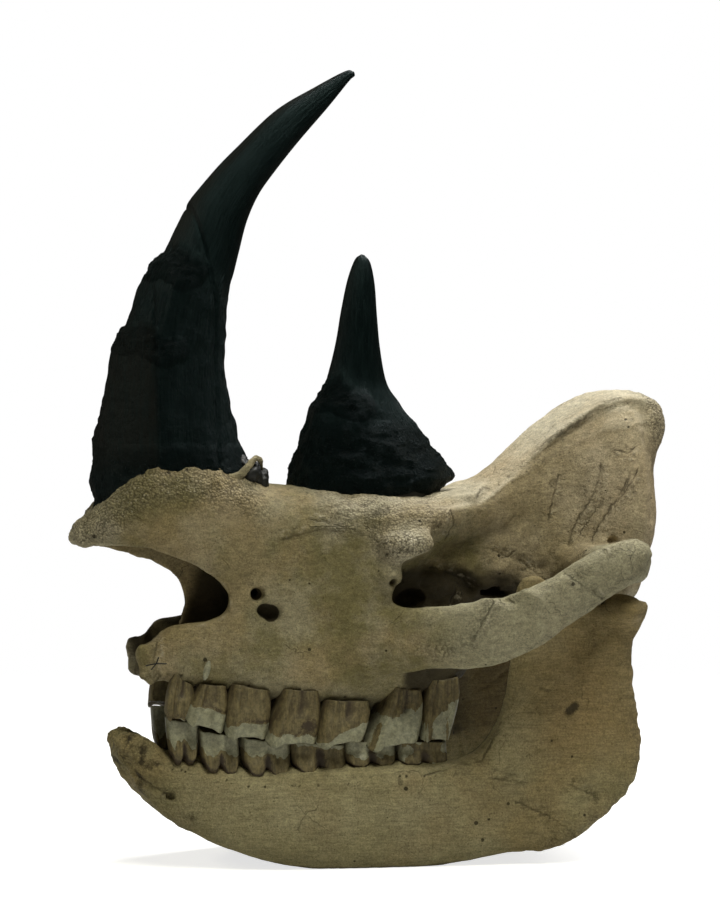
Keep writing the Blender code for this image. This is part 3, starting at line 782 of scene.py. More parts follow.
class Nodes:
    """Adds and joins nodes in one node tree."""

    def __init__(self, tree: bpy.types.NodeTree) -> None:
        self.tree = tree

    def add(self, kind: str, **settings: object) -> bpy.types.Node:
        """Adds a node and sets its properties."""
        node = self.tree.nodes.new(kind)
        for key, value in settings.items():
            setattr(node, key, value)
        return node

    def feed(self, socket: bpy.types.NodeSocket, value: object) -> None:
        """Joins a socket to another node's output, or sets it to a plain value."""
        if isinstance(value, bpy.types.NodeSocket):
            self.tree.links.new(value, socket)
        else:
            socket.default_value = value

    def math(self, operation: str, *values: object, clamp: bool = False):
        """One sum of the values."""
        node = self.add("ShaderNodeMath", operation=operation, use_clamp=clamp)
        for number, value in enumerate(values):
            self.feed(node.inputs[number], value)
        return node.outputs[0]

    def times(self, first: object, second: object):
        """Two values multiplied."""
        return self.math("MULTIPLY", first, second)

    def plus(self, first: object, second: object):
        """Two values added."""
        return self.math("ADD", first, second)

    def mix(self, share: object, first: object, second: object, blend: str = "MIX"):
        """Two colours mixed by a share. Returns the colour."""
        node = self.add("ShaderNodeMix", data_type="RGBA", blend_type=blend)
        self.feed(node.inputs[0], share)
        self.feed(node.inputs[6], first)
        self.feed(node.inputs[7], second)
        return node.outputs[2]

    def step(self, value: object, low: float, high: float, start: float = 0.0, end: float = 1.0):
        """A smooth rise from start to end as the value goes from low to high. Returns it."""
        node = self.add("ShaderNodeMapRange", interpolation_type="SMOOTHSTEP")
        for number, item in enumerate((value, low, high, start, end)):
            self.feed(node.inputs[number], item)
        return node.outputs[0]

    def noise(self, vector: object, scale: object, detail: float = 4.0, rough: float = 0.55):
        """Layered noise from 0 to 1. Returns it."""
        node = self.add("ShaderNodeTexNoise")
        self.feed(node.inputs["Vector"], vector)
        self.feed(node.inputs["Scale"], scale)
        node.inputs["Detail"].default_value = detail
        node.inputs["Roughness"].default_value = rough
        return node.outputs["Fac"]

    def grey_of(self, value: object, low: float, high: float):
        """A grey from low to high as a noise value goes from 0.36 to 0.64."""
        node = self.add("ShaderNodeCombineColor")
        shade = self.step(value, 0.36, 0.64, low, high)
        for number in range(3):
            self.feed(node.inputs[number], shade)
        return node.outputs[0]

    def tinted(self, colour: object, value: object, low: float, high: float):
        """A colour multiplied by that grey."""
        return self.mix(1.0, colour, self.grey_of(value, low, high), "MULTIPLY")

    def bump(self, shader: bpy.types.Node, height: object, strength: float, distance: float) -> None:
        """Gives a shader bumps from a height."""
        node = self.add("ShaderNodeBump")
        node.inputs["Strength"].default_value = strength
        node.inputs["Distance"].default_value = distance
        self.feed(node.inputs["Height"], height)
        self.feed(shader.inputs["Normal"], node.outputs[0])

    def wandering(self, vector: object, scale: float):
        """Coordinates nudged this way and that by noise."""
        warp = self.add("ShaderNodeTexNoise")
        self.feed(warp.inputs["Vector"], vector)
        warp.inputs["Scale"].default_value = scale
        nudged = self.add("ShaderNodeVectorMath", operation="MULTIPLY_ADD")
        self.feed(nudged.inputs[0], warp.outputs["Color"])
        nudged.inputs[1].default_value = (0.02, 0.02, 0.02)
        self.feed(nudged.inputs[2], vector)
        return nudged.outputs[0]

    def attribute(self, name: str):
        """A painted number. Returns it."""
        return self.add("ShaderNodeAttribute", attribute_name=name).outputs["Fac"]

    def object_vector(self):
        """Coordinates on the piece. Returns them."""
        return self.add("ShaderNodeTexCoord").outputs["Object"]

    def stretched(self, vector: object, scale: Sequence[float]):
        """Coordinates stretched along the axes. Returns them."""
        node = self.add("ShaderNodeMapping")
        self.feed(node.inputs["Vector"], vector)
        node.inputs["Scale"].default_value = scale
        return node.outputs[0]

    def group(self, tree: bpy.types.NodeTree, **values: object) -> bpy.types.Node:
        """Uses a shared effect, with its named sockets fed."""
        node = self.add("ShaderNodeGroup", node_tree=tree)
        for key, value in values.items():
            self.feed(node.inputs[key.replace("_", " ")], value)
        return node


def shade_of(colour: Sequence[float], share: float) -> tuple[float, ...]:
    """A darker shade of a colour, with its alpha."""
    return (*(share * part for part in colour), 1)


def new_material(name: str) -> tuple[bpy.types.Material, Nodes, bpy.types.Node]:
    """Starts a material.

    Args:
        name: its name.

    Returns:
        The material, its nodes and its Principled shader.
    """
    made = bpy.data.materials.new(name)
    made.use_nodes = True
    return made, Nodes(made.node_tree), made.node_tree.nodes["Principled BSDF"]


def effect(
    name: str, inputs: Sequence[tuple[str, str, object]], outputs: Sequence[tuple[str, str]]
) -> tuple[Nodes, bpy.types.Node, bpy.types.Node]:
    """Starts a shared shader effect.

    Args:
        name: the effect's name.
        inputs: name, socket kind and default of each input.
        outputs: name and socket kind of each output.

    Returns:
        The tree's nodes, its input node and its output node.
    """
    tree = bpy.data.node_groups.new(name, "ShaderNodeTree")
    for label, kind, default in inputs:
        socket = tree.interface.new_socket(label, in_out="INPUT", socket_type=f"NodeSocket{kind}")
        if default is not None:
            socket.default_value = default
    for label, kind in outputs:
        tree.interface.new_socket(label, in_out="OUTPUT", socket_type=f"NodeSocket{kind}")
    nodes = Nodes(tree)
    return nodes, nodes.add("NodeGroupInput"), nodes.add("NodeGroupOutput")


class Effects:
    """The shader effects that several finishes share."""

    def __init__(self) -> None:
        self.stain = self.make_stain()
        self.pores = self.make_pores()
        self.cracks = self.make_cracks()

    @staticmethod
    def make_stain() -> bpy.types.NodeTree:
        """Cloudy patches with soft, wandering edges."""
        nodes, given, result = effect(
            "stain",
            [
                ("Vector", "Vector", None),
                ("Scale", "Float", 20.0),
                ("Cover", "Float", 0.5),
                ("Softness", "Float", 0.15),
            ],
            [("Mask", "Float")],
        )
        place = nodes.wandering(given.outputs["Vector"], 30.0)
        cloud = nodes.noise(place, given.outputs["Scale"], 6.0, 0.6)
        edge = nodes.math("SUBTRACT", 1.0, given.outputs["Cover"])
        low = nodes.math("SUBTRACT", edge, given.outputs["Softness"])
        high = nodes.plus(edge, given.outputs["Softness"])
        nodes.feed(result.inputs["Mask"], nodes.step(cloud, low, high))
        return nodes.tree

    @staticmethod
    def make_pores() -> bpy.types.NodeTree:
        """Small dark holes of uneven size, and the height that goes with them."""
        nodes, given, result = effect(
            "pores",
            [
                ("Vector", "Vector", None),
                ("Scale", "Float", 300.0),
                ("Density", "Float", 0.3),
            ],
            [("Mask", "Float"), ("Height", "Float")],
        )
        cells = nodes.add("ShaderNodeTexVoronoi")
        nodes.feed(cells.inputs["Vector"], given.outputs["Vector"])
        nodes.feed(cells.inputs["Scale"], given.outputs["Scale"])
        split = nodes.add("ShaderNodeSeparateColor")
        nodes.feed(split.inputs[0], cells.outputs["Color"])
        chosen = nodes.math("LESS_THAN", split.outputs[0], given.outputs["Density"])
        size = nodes.math("MULTIPLY_ADD", split.outputs[1], 0.28, 0.10)
        hole = nodes.math("SUBTRACT", size, cells.outputs["Distance"])
        hole = nodes.times(nodes.step(hole, 0.0, 0.09), chosen)
        nodes.feed(result.inputs["Mask"], hole)
        nodes.feed(result.inputs["Height"], nodes.math("SUBTRACT", 1.0, hole))
        return nodes.tree

    @staticmethod
    def make_cracks() -> bpy.types.NodeTree:
        """Hairlines between uneven plates, broken up by noise."""
        nodes, given, result = effect(
            "cracks",
            [("Vector", "Vector", None), ("Scale", "Float", 25.0), ("Amount", "Float", 0.5)],
            [("Mask", "Float")],
        )
        cells = nodes.add("ShaderNodeTexVoronoi", feature="DISTANCE_TO_EDGE")
        nodes.feed(cells.inputs["Vector"], nodes.wandering(given.outputs["Vector"], 60.0))
        nodes.feed(cells.inputs["Scale"], given.outputs["Scale"])
        line = nodes.step(cells.outputs["Distance"], 0.0, 0.016, 1.0, 0.0)
        where = nodes.noise(given.outputs["Vector"], 18.0, 2.0)
        where = nodes.step(where, 0.54, 0.64)
        line = nodes.times(line, where)
        nodes.feed(result.inputs["Mask"], nodes.times(line, given.outputs["Amount"]))
        return nodes.tree


@dataclass(frozen=True)
class BoneFinish:
    """Dry, aged bone."""

    name: str
    light: tuple[float, float, float]
    olive: tuple[float, float, float]
    brown: tuple[float, float, float]
    grey: tuple[float, float, float]
    warm: tuple[float, float, float]
    grain: tuple[float, float, float] = (1.0, 1.0, 5.0)
    roughness: float = 0.72
    pore_scale: float = 420.0

    def build(self, effects: Effects) -> bpy.types.Material:
        """Makes the material.

        Args:
            effects: the shared shader effects.

        Returns:
            The material.
        """
        made, nodes, shader = new_material(self.name)
        where = nodes.object_vector()
        tone = nodes.attribute("tone")
        relief = nodes.attribute("relief")
        rough_zone = nodes.attribute("rugose")
        cloud = nodes.noise(where, 16.0, 6.0, 0.62)
        # tone also carries the cranium's painted light: lighter on upward faces, crest corners and the nose tip.
        share = nodes.math("ADD", tone, nodes.step(cloud, 0.36, 0.64, -0.17, 0.17), clamp=True)
        colour = nodes.mix(share, (*self.olive, 1), (*self.light, 1))
        colour = nodes.mix(nodes.attribute("warm"), colour, (*self.warm, 1))
        blush = nodes.step(nodes.noise(where, 10.0, 3.0), 0.48, 0.66, 0.0, 0.42)
        colour = nodes.mix(blush, colour, (*self.warm, 1))
        stain = nodes.group(effects.stain, Vector=where, Scale=30.0, Cover=0.40, Softness=0.10)
        colour = nodes.mix(nodes.times(stain.outputs[0], 0.26), colour, (*self.brown, 1))
        dull = nodes.group(effects.stain, Vector=where, Scale=13.0, Cover=0.42, Softness=0.14)
        dull = nodes.times(dull.outputs[0], 0.20)
        grey_zone = nodes.math("ADD", dull, nodes.attribute("grey"), clamp=True)
        colour = nodes.mix(grey_zone, colour, (*self.grey, 1))
        mottle = nodes.noise(where, 190.0, 6.0, 0.8)
        colour = nodes.tinted(colour, mottle, 0.86, 1.12)
        speck = nodes.noise(where, 620.0, 4.0, 0.75)
        colour = nodes.tinted(colour, speck, 0.79, 1.18)
        streaks = nodes.noise(nodes.stretched(where, self.grain), 70.0, 5.0, 0.7)
        colour = nodes.tinted(colour, streaks, 0.85, 1.12)
        # Painted shade: darker where the relief is sunk, in pits, crevices and grooves.
        ragged = nodes.plus(relief, nodes.step(speck, 0.25, 0.75, -0.12, 0.12))
        hollow_shade = nodes.step(ragged, -0.06, -0.70, 0.0, 0.92)
        colour = nodes.mix(hollow_shade, colour, shade_of(self.brown, 0.22))
        # Painted highlight: lighter where the relief stands proud, on crests and rims.
        raised_highlight = nodes.step(relief, 0.15, 0.85, 0.0, 0.40)
        colour = nodes.mix(raised_highlight, colour, (*self.light, 1))
        # Painted shade: darker where rays find the surroundings closed in, and in the zones painted dark, such as hole
        # interiors and inner faces.
        closed = nodes.step(nodes.attribute("open"), 0.66, 0.14, 0.0, 0.92)
        colour = nodes.mix(closed, colour, shade_of(self.brown, 0.20))
        pores = nodes.group(effects.pores, Vector=where, Scale=self.pore_scale, Density=0.30)
        holes = nodes.group(effects.pores, Vector=where, Scale=170.0, Density=0.020)
        dark = nodes.math("MAXIMUM", nodes.times(pores.outputs[0], 0.45), holes.outputs[0])
        cracks = nodes.group(effects.cracks, Vector=where, Scale=26.0, Amount=0.6)
        dark = nodes.math("MAXIMUM", dark, cracks.outputs[0])
        # Scratches and seams: a groove darkened as painted shade together with the seam's own dark, and a raised strip
        # along one side.
        across = nodes.plus(nodes.attribute("across"), nodes.step(nodes.noise(where, 160.0, 3.0, 0.6), 0.25, 0.75, -0.6, 0.6))
        shown = nodes.times(nodes.attribute("marked"), nodes.step(nodes.noise(where, 70.0, 3.0), 0.38, 0.52, 0.45, 1.0))
        groove = nodes.times(nodes.step(nodes.math("ABSOLUTE", across), 0.15, 1.0, 1.0, 0.0), shown)
        lip_and_highlight = nodes.times(nodes.step(across, 0.9, 1.7), nodes.step(across, 1.8, 3.8, 1.0, 0.0))
        lip_and_highlight = nodes.times(lip_and_highlight, shown)
        dark = nodes.math("MAXIMUM", dark, nodes.times(groove, 0.62))
        cells = nodes.add("ShaderNodeTexVoronoi")
        nodes.feed(cells.inputs["Vector"], where)
        cells.inputs["Scale"].default_value = 400.0
        granule = nodes.step(cells.outputs["Distance"], 0.15, 0.75, 1.0, 0.0)
        # Painted shade in the crevices between the granules of rough bone.
        between = nodes.times(nodes.step(cells.outputs["Distance"], 0.45, 0.8, 0.0, 0.75), rough_zone)
        dark = nodes.math("MAXIMUM", dark, between)
        colour = nodes.mix(nodes.times(dark, 0.85), colour, (0.022, 0.017, 0.007, 1))
        # Painted highlight on the lit side of each mark.
        colour = nodes.mix(nodes.times(lip_and_highlight, 0.40), colour, (*self.light, 1))
        nodes.feed(shader.inputs["Base Color"], colour)
        gloss = nodes.noise(where, 45.0, 3.0)
        nodes.feed(
            shader.inputs["Roughness"],
            nodes.step(gloss, 0.3, 0.7, self.roughness - 0.10, self.roughness + 0.12),
        )
        shader.inputs["Specular IOR Level"].default_value = 0.28
        height = nodes.times(nodes.noise(where, 420.0, 6.0, 0.75), 0.75)
        height = nodes.plus(height, nodes.times(mottle, 1.0))
        height = nodes.plus(height, nodes.times(pores.outputs[1], 0.30))
        height = nodes.plus(height, nodes.times(holes.outputs[1], 0.9))
        height = nodes.math("SUBTRACT", height, nodes.times(cracks.outputs[0], 0.8))
        height = nodes.plus(height, nodes.times(streaks, 0.8))
        height = nodes.plus(height, nodes.times(nodes.times(granule, rough_zone), 1.1))
        height = nodes.math("SUBTRACT", height, nodes.times(groove, 1.1))
        height = nodes.plus(height, nodes.times(lip_and_highlight, 1.0))
        nodes.bump(shader, height, 0.9, 0.0016)
        return made


@dataclass(frozen=True)
class ToothFinish:
    """Enamel over brown, streaked root cement."""

    name: str
    enamel: tuple[float, float, float] = (0.285, 0.285, 0.195)
    cement: tuple[float, float, float] = (0.170, 0.134, 0.056)
    # The stain colour also serves as the painted shade in the teeth's hollows.
    stain: tuple[float, float, float] = (0.035, 0.022, 0.010)

    def build(self, effects: Effects) -> bpy.types.Material:
        """Makes the material from the shared effects."""
        made, nodes, shader = new_material(self.name)
        where = nodes.object_vector()
        enamel = nodes.attribute("enamel")
        cloud = nodes.noise(where, 260.0, 4.0, 0.6)
        fine = nodes.noise(where, 700.0, 4.0, 0.6)
        ragged = nodes.plus(enamel, nodes.step(cloud, 0.2, 0.8, -0.20, 0.20))
        ragged = nodes.step(ragged, 0.44, 0.56)
        streaks = nodes.noise(nodes.stretched(where, (1.0, 1.0, 0.10)), 420.0, 5.0, 0.7)
        root = nodes.mix(
            nodes.step(streaks, 0.35, 0.65), shade_of(self.cement, 0.50), (*self.cement, 1)
        )
        patch = nodes.group(effects.stain, Vector=where, Scale=70.0, Cover=0.42, Softness=0.12)
        root = nodes.mix(nodes.times(patch.outputs[0], 0.5), root, (0.20, 0.165, 0.080, 1))
        shell = nodes.mix(nodes.step(fine, 0.3, 0.7), (0.25, 0.245, 0.160, 1), (*self.enamel, 1))
        shell = nodes.mix(nodes.times(patch.outputs[0], 0.45), shell, (0.175, 0.165, 0.095, 1))
        colour = nodes.mix(ragged, root, shell)
        colour = nodes.tinted(colour, nodes.noise(where, 230.0, 6.0, 0.75), 0.70, 1.25)
        grit = nodes.noise(where, 380.0, 6.0, 0.75)
        # mark holds the teeth's stains, and painted shade in clefts and where the teeth enter the bone.
        mark = nodes.plus(nodes.attribute("mark"), nodes.step(grit, 0.3, 0.7, -0.28, 0.28))
        colour = nodes.mix(nodes.step(mark, 0.25, 0.72, 0.0, 0.95), colour, (*self.stain, 1))
        # Painted shade in clefts, folds, chewing hollows and where neighbouring teeth meet.
        hollow_shade = nodes.step(nodes.attribute("relief"), 0.0, -0.8, 0.0, 0.85)
        colour = nodes.mix(hollow_shade, colour, (*self.stain, 1))
        cracks = nodes.group(effects.cracks, Vector=nodes.stretched(where, (1, 1, 0.25)), Scale=150.0, Amount=0.7)
        colour = nodes.mix(cracks.outputs[0], colour, (0.05, 0.035, 0.02, 1))
        nodes.feed(shader.inputs["Base Color"], colour)
        nodes.feed(shader.inputs["Roughness"], nodes.step(ragged, 0.0, 1.0, 0.66, 0.42))
        height = nodes.plus(nodes.times(streaks, 0.9), nodes.times(grit, 0.5))
        height = nodes.plus(height, nodes.times(ragged, 0.8))
        nodes.bump(shader, height, 0.6, 0.0006)
        return made


@dataclass(frozen=True)
class HornFinish:
    """Near-black horn, fibrous where it is rough and polished where it is smooth."""

    name: str
    black: tuple[float, float, float] = (0.0017, 0.0040, 0.0042)
    brown: tuple[float, float, float] = (0.0085, 0.0076, 0.0058)

    def build(self, effects: Effects) -> bpy.types.Material:
        """Makes the material from the shared effects."""
        made, nodes, shader = new_material(self.name)
        where = nodes.object_vector()
        rough = nodes.attribute("fray")
        tone = nodes.attribute("tone")
        layer = nodes.add("ShaderNodeUVMap", uv_map="grain")
        fibres = nodes.noise(nodes.stretched(layer.outputs[0], (520.0, 34.0, 1.0)), 1.0, 5.0, 0.65)
        fine = nodes.noise(nodes.stretched(layer.outputs[0], (1500.0, 90.0, 1.0)), 1.0, 3.0, 0.6)
        # tone: the horn's brown face, and a painted highlight along the upper front edge.
        colour = nodes.mix(tone, (*self.black, 1), (*self.brown, 1))
        # Lighter streaks along the fibres: the horn's own streaks, with a painted sheen.
        colour = nodes.mix(nodes.step(fibres, 0.40, 0.75, 0.0, 0.6), colour, (0.0065, 0.0130, 0.0130, 1))
        dust = nodes.group(effects.stain, Vector=where, Scale=75.0, Cover=0.40, Softness=0.06)
        dust = nodes.times(dust.outputs[0], nodes.step(rough, 0.2, 1.0, 0.02, 0.40))
        colour = nodes.mix(dust, colour, (0.018, 0.021, 0.020, 1))
        # Painted highlight: pale sparkling specks on the rough crust.
        painted_sparkle = nodes.step(nodes.noise(where, 800.0, 3.0, 0.6), 0.60, 0.72)
        painted_sparkle = nodes.times(painted_sparkle, nodes.step(rough, 0.50, 1.0, 0.0, 0.9))
        colour = nodes.mix(painted_sparkle, colour, (0.060, 0.066, 0.060, 1))
        pits = nodes.group(effects.pores, Vector=where, Scale=300.0, Density=0.45)
        crust = nodes.times(pits.outputs[0], rough)
        colour = nodes.mix(crust, colour, (0.0006, 0.0008, 0.0007, 1))
        nodes.feed(shader.inputs["Base Color"], colour)
        gloss = nodes.step(rough, 0.0, 0.8, 0.36, 0.44)
        gloss = nodes.plus(gloss, nodes.step(fibres, 0.3, 0.7, -0.05, 0.07))
        gloss = nodes.plus(gloss, nodes.times(tone, 0.20))
        nodes.feed(shader.inputs["Roughness"], gloss)
        shader.inputs["Specular IOR Level"].default_value = 0.12
        shader.inputs["Specular Tint"].default_value = (0.58, 0.95, 1.0, 1)
        lower = nodes.step(rough, 0.0, 0.6)
        height = nodes.times(fibres, nodes.step(rough, 0.0, 0.6, 0.35, 1.2))
        height = nodes.plus(height, nodes.times(fine, nodes.step(rough, 0.0, 0.6, 0.12, 0.6)))
        lumps = nodes.noise(where, 360.0, 6.0, 0.8)
        height = nodes.plus(height, nodes.times(lumps, nodes.step(rough, 0.1, 1.0, 0.15, 2.6)))
        clots = nodes.noise(where, 120.0, 4.0, 0.7)
        height = nodes.plus(height, nodes.times(clots, nodes.times(lower, 1.6)))
        height = nodes.math("SUBTRACT", height, nodes.times(crust, 0.8))
        nodes.bump(shader, height, 1.0, 0.0034)
        return made


def plain_material(name: str, colour: Sequence[float], roughness: float) -> bpy.types.Material:
    """A plain finish with slight unevenness."""
    made, nodes, shader = new_material(name)
    cloud = nodes.noise(nodes.object_vector(), 90.0, 4.0)
    uneven = nodes.mix(nodes.step(cloud, 0.3, 0.7), shade_of(colour, 0.7), (*colour, 1))
    nodes.feed(shader.inputs["Base Color"], uneven)
    shader.inputs["Roughness"].default_value = roughness
    return made


@dataclass(frozen=True)
class Line:
    """A crest, groove or seam on the skull's sides, as (x, z) corners."""

    corners: tuple[tuple[float, float], ...]
    width: float
    height: float
    low_y: float = 0.02


FORAMINA = (
    ((-0.1161, -0.070, 0.2552), (0.0076, 0.022, 0.0076)),
    ((-0.1030, -0.070, 0.2375), (0.0100, 0.022, 0.0100)),
    ((-0.1090, -0.070, 0.2400), (0.0095, 0.022, 0.0082)),
)
ORBIT_GAPS = (
    ((0.0360, -0.0520, 0.2455), (0.0165, 0.032, 0.0095)),
    ((0.1180, -0.0330, 0.2525), (0.0105, 0.024, 0.0052)),
    ((0.1290, -0.0330, 0.2475), (0.0090, 0.024, 0.0046)),
)
SUTURE = ((0.0815, 0.2560), (0.0835, 0.2495), (0.0719, 0.2297), (0.0623, 0.2118), (0.0337, 0.2036))
CREST_EDGE = ((0.0986, 0.342), (0.1255, 0.3608), (0.167, 0.3873), (0.2074, 0.4132), (0.2349, 0.4325), (0.2461, 0.4373))
CREST = ((0.045, 0.331), (0.060, 0.334), (0.0953, 0.3535), (0.1459, 0.3830), (0.1868, 0.4060), (0.2281, 0.4265), (0.272, 0.4360))
SCAR_AHEAD = ((0.217, 0.372), (0.213, 0.3528), (0.2028, 0.327), (0.1874, 0.2957))
SCAR_BEHIND = ((0.2345, 0.357), (0.2295, 0.3461), (0.2141, 0.3175), (0.206, 0.302))
FOSSA_FOLD = ((0.050, 0.277), (0.072, 0.272), (0.088, 0.262), (0.100, 0.252))
JAW_SLOT = ((-0.1935, 0.0687), (-0.2104, 0.0788), (-0.2220, 0.0880))
LINES = [
    Line(SCAR_AHEAD, 0.0024, -0.0014),
    Line(((0.222, 0.372), (0.218, 0.3528), (0.208, 0.327), (0.193, 0.2957)), 0.0030, 0.0016),
    Line(SCAR_BEHIND, 0.0024, -0.0014),
    Line(((0.2395, 0.357), (0.2345, 0.3461), (0.2191, 0.3175), (0.211, 0.302)), 0.0030, 0.0016),
    Line(((0.045, 0.289), (0.070, 0.286), (0.090, 0.275), (0.105, 0.262), (0.122, 0.252)), 0.0050, 0.0034),
    Line(FOSSA_FOLD, 0.0060, -0.0042),
    Line(((0.118, 0.292), (0.140, 0.283), (0.165, 0.272)), 0.0060, -0.0022),
    Line(((-0.0945, 0.309), (-0.060, 0.3175), (-0.0373, 0.3155)), 0.0028, 0.0010, 0.03),
    Line(((-0.0945, 0.303), (-0.060, 0.3110), (-0.0373, 0.3090)), 0.0030, -0.0008, 0.03),
    Line((*SUTURE[:4], (0.0497, 0.2080)), 0.0040, 0.0009, 0.09),
    Line(((0.252, 0.420), (0.2535, 0.380), (0.250, 0.330), (0.245, 0.290)), 0.0035, 0.0024, 0.05),
    Line(((0.2585, 0.400), (0.2600, 0.360), (0.2575, 0.320)), 0.0030, -0.0018, 0.05),
]


CRANIUM_FINE = (
    ((0.1833, 0.362), (0.1803, 0.3512), (0.1721, 0.3198)),
    SCAR_AHEAD,
    SCAR_BEHIND,
    ((0.246, 0.368), (0.2409, 0.3579), (0.2275, 0.3389)),
    ((0.1433, 0.2815), (0.160, 0.268), (0.1841, 0.2519)),
    ((0.118, 0.292), (0.132, 0.284), (0.138, 0.290)),
    ((-0.0945, 0.306), (-0.060, 0.3145), (-0.0373, 0.3125)),
    ((-0.066, 0.3235), (-0.030, 0.3150), (-0.004, 0.3020)),
    ((0.062, 0.303), (0.070, 0.318), (0.066, 0.330)),
)
CRANIUM_BOLD = (
    ((0.2455, 0.389), (0.238, 0.384), (0.2300, 0.387)),
    CREST_EDGE,
    SUTURE[:4],
    ((-0.2040, 0.216), (-0.2065, 0.204), (-0.2100, 0.194), (-0.2030, 0.180), (-0.2045, 0.168)),
    FOSSA_FOLD,
)
JAW_FINE = (
    ((0.1000, 0.0820), (0.1300, 0.0780)),
    ((0.1200, 0.0600), (0.1500, 0.0460), (0.1760, 0.0280)),
    ((0.1700, 0.0750), (0.1960, 0.0620)),
    ((0.0400, 0.0860), (0.0900, 0.0980), (0.1080, 0.1250)),
)
JAW_BOLD = (JAW_SLOT,)


def line_relief(points: Points, facing: Points, lines: Sequence[Line]) -> Points:
    """How far crests and grooves stand proud at each point.

    Args:
        points: the surface's points.
        facing: its outward directions.
        lines: the crests and grooves.

    Returns:
        Heights in metres, negative in grooves.
    """
    flat = points[:, [0, 2]] + 0.0012 * np.column_stack(
        [noise(points, 0.012, 41, 2), noise(points, 0.012, 43, 2)]
    )
    total = np.zeros(len(points))
    outward = smoothstep(0.05, 0.45, facing[:, 1] * np.sign(points[:, 1]))
    for line in lines:
        near = np.exp(-((line_distance(flat, line.corners) / line.width) ** 2))
        inside = outward * smoothstep(line.low_y - 0.01, line.low_y, abs(points[:, 1]))
        total += line.height * near * inside
    return total


def hollow(points: Points, centre: Sequence[float], radii: Sequence[float]) -> Points:
    """How far inside a hole, cut from the side, each point lies.

    Args:
        points: the surface's points.
        centre: the hole's middle.
        radii: the hole's radii.

    Returns:
        0 outside the hole and on its edge, 1 inside it.
    """
    away = np.hypot((points[:, 0] - centre[0]) / radii[0], (points[:, 2] - centre[2]) / radii[2])
    side = abs(points[:, 1])
    edge = (away > 1.1) & (away < 1.5) & (side > abs(centre[1]) - 0.025)
    level = float(np.median(side[edge])) if edge.any() else abs(centre[1])
    return smoothstep(0.0005, 0.0030, level - side) * smoothstep(1.25, 1.0, away) * (side > 0.02)


def marks(points: Points, facing: Points, fine: Sequence[Stations], bold: Sequence[Stations]) -> tuple[Points, Points]:
    """Lays fine scratches and bolder seams out for the finish to draw.

    Args:
        points: the surface's points.
        facing: its outward directions.
        fine: the scratches, as (x, z) corners seen from the side.
        bold: the seams, the same way.

    Returns:
        The signed distance across the nearest one in its widths, and how much it shows.
    """
    flat = points[:, [0, 2]] + 0.0006 * np.column_stack(
        [noise(points, 0.010, 141, 2), noise(points, 0.010, 143, 2)]
    )
    nearest = np.full(len(points), 1.0)
    across, shows = np.zeros(len(points)), np.zeros(len(points))
    for width, lines in ((0.0010, fine), (0.0015, bold)):
        for line in lines:
            corners = np.array(line)
            for index, (start, end) in enumerate(zip(corners, corners[1:])):
                length = float(np.linalg.norm(end - start))
                unit = (end - start) / length
                ahead = (flat - start) @ unit
                side = (flat - start) @ np.array([-unit[1], unit[0]])
                before, beyond = np.maximum(-ahead, 0), np.maximum(ahead - length, 0)
                away = np.hypot(side, before + beyond)
                past = before * (index == 0) + beyond * (index == len(corners) - 2)
                closer = away < nearest
                nearest = np.where(closer, away, nearest)
                across = np.where(closer, np.sign(side) * away / width, across)
                shows = np.where(closer, smoothstep(0.0030, 0.0, past) * smoothstep(0.009, 0.006, away), shows)
    return across, shows * smoothstep(0.1, 0.4, facing[:, 1] * np.sign(points[:, 1]))


def hole_pairs(spots: Sequence[tuple[Sequence[float], Sequence[float]]]) -> list[bpy.types.Object]:
    """Forms of holes on both sides.

    Args:
        spots: centre and radii of each hole on the left.

    Returns:
        The forms to cut out.
    """
    made = []
    for centre, radii in spots:
        shell = ellipsoid(centre, radii)
        made += [shell.as_object("hole"), shell.mirrored().as_object("hole")]
    return made


@dataclass
class Surface:
    """What a bone's relief gives at each point: heights, fine hollows and painted zones, dark among them marking
    painted shade.
    """

    heights: Points
    relief: Points
    rugose: Points
    tone: Points
    warm: Points
    grey: Points
    dark: Points


@dataclass
class Bone:
    """A bone piece: fused, rounded, cut, refined and given its surface relief."""

    name: str
    finish: bpy.types.Material
    slot: str
    fine: ClassVar[Sequence[Stations]] = ()
    bold: ClassVar[Sequence[Stations]] = ()

    def coarse(self) -> bpy.types.Object:
        """The rounded bone on the coarse grid."""
        raise NotImplementedError

    def holes(self) -> list[bpy.types.Object]:
        """Forms cut out of the bone."""
        raise NotImplementedError

    def surface(self, points: Points, facing: Points) -> Surface:
        """The relief and painted zones at the points."""
        raise NotImplementedError

    def shaped(self) -> bpy.types.Object:
        """Makes the bone, moves its surface by its relief and paints what the finish reads.

        Returns:
            The placed bone.
        """
        obj = self.coarse()
        for tool in self.holes():
            cut(obj, tool)
        rough = fused(new_object("open", obj.data.copy()), COARSE_GRID * 1.25)
        seen, known = openness(rough), coordinates(rough)
        bpy.data.objects.remove(rough)
        obj = largest(rounded(fused(obj, grid_size()), 1))
        points, facing = coordinates(obj), normals(obj)
        made = self.surface(points, facing)
        move_points(obj, points + facing * np.clip(made.heights, *RELIEF_RANGE)[:, None])
        for label in ("relief", "rugose", "tone", "warm", "grey"):
            paint(obj, label, getattr(made, label))
        across, shows = marks(points, facing, self.fine, self.bold)
        paint(obj, "across", across)
        paint(obj, "marked", shows)
        # Openness from rays, less the zones painted dark, which the finish turns into painted shade.
        paint(obj, "open", carried_over(seen, known, points) - made.dark)
        obj.name = self.name
        return placed(obj, self.finish)


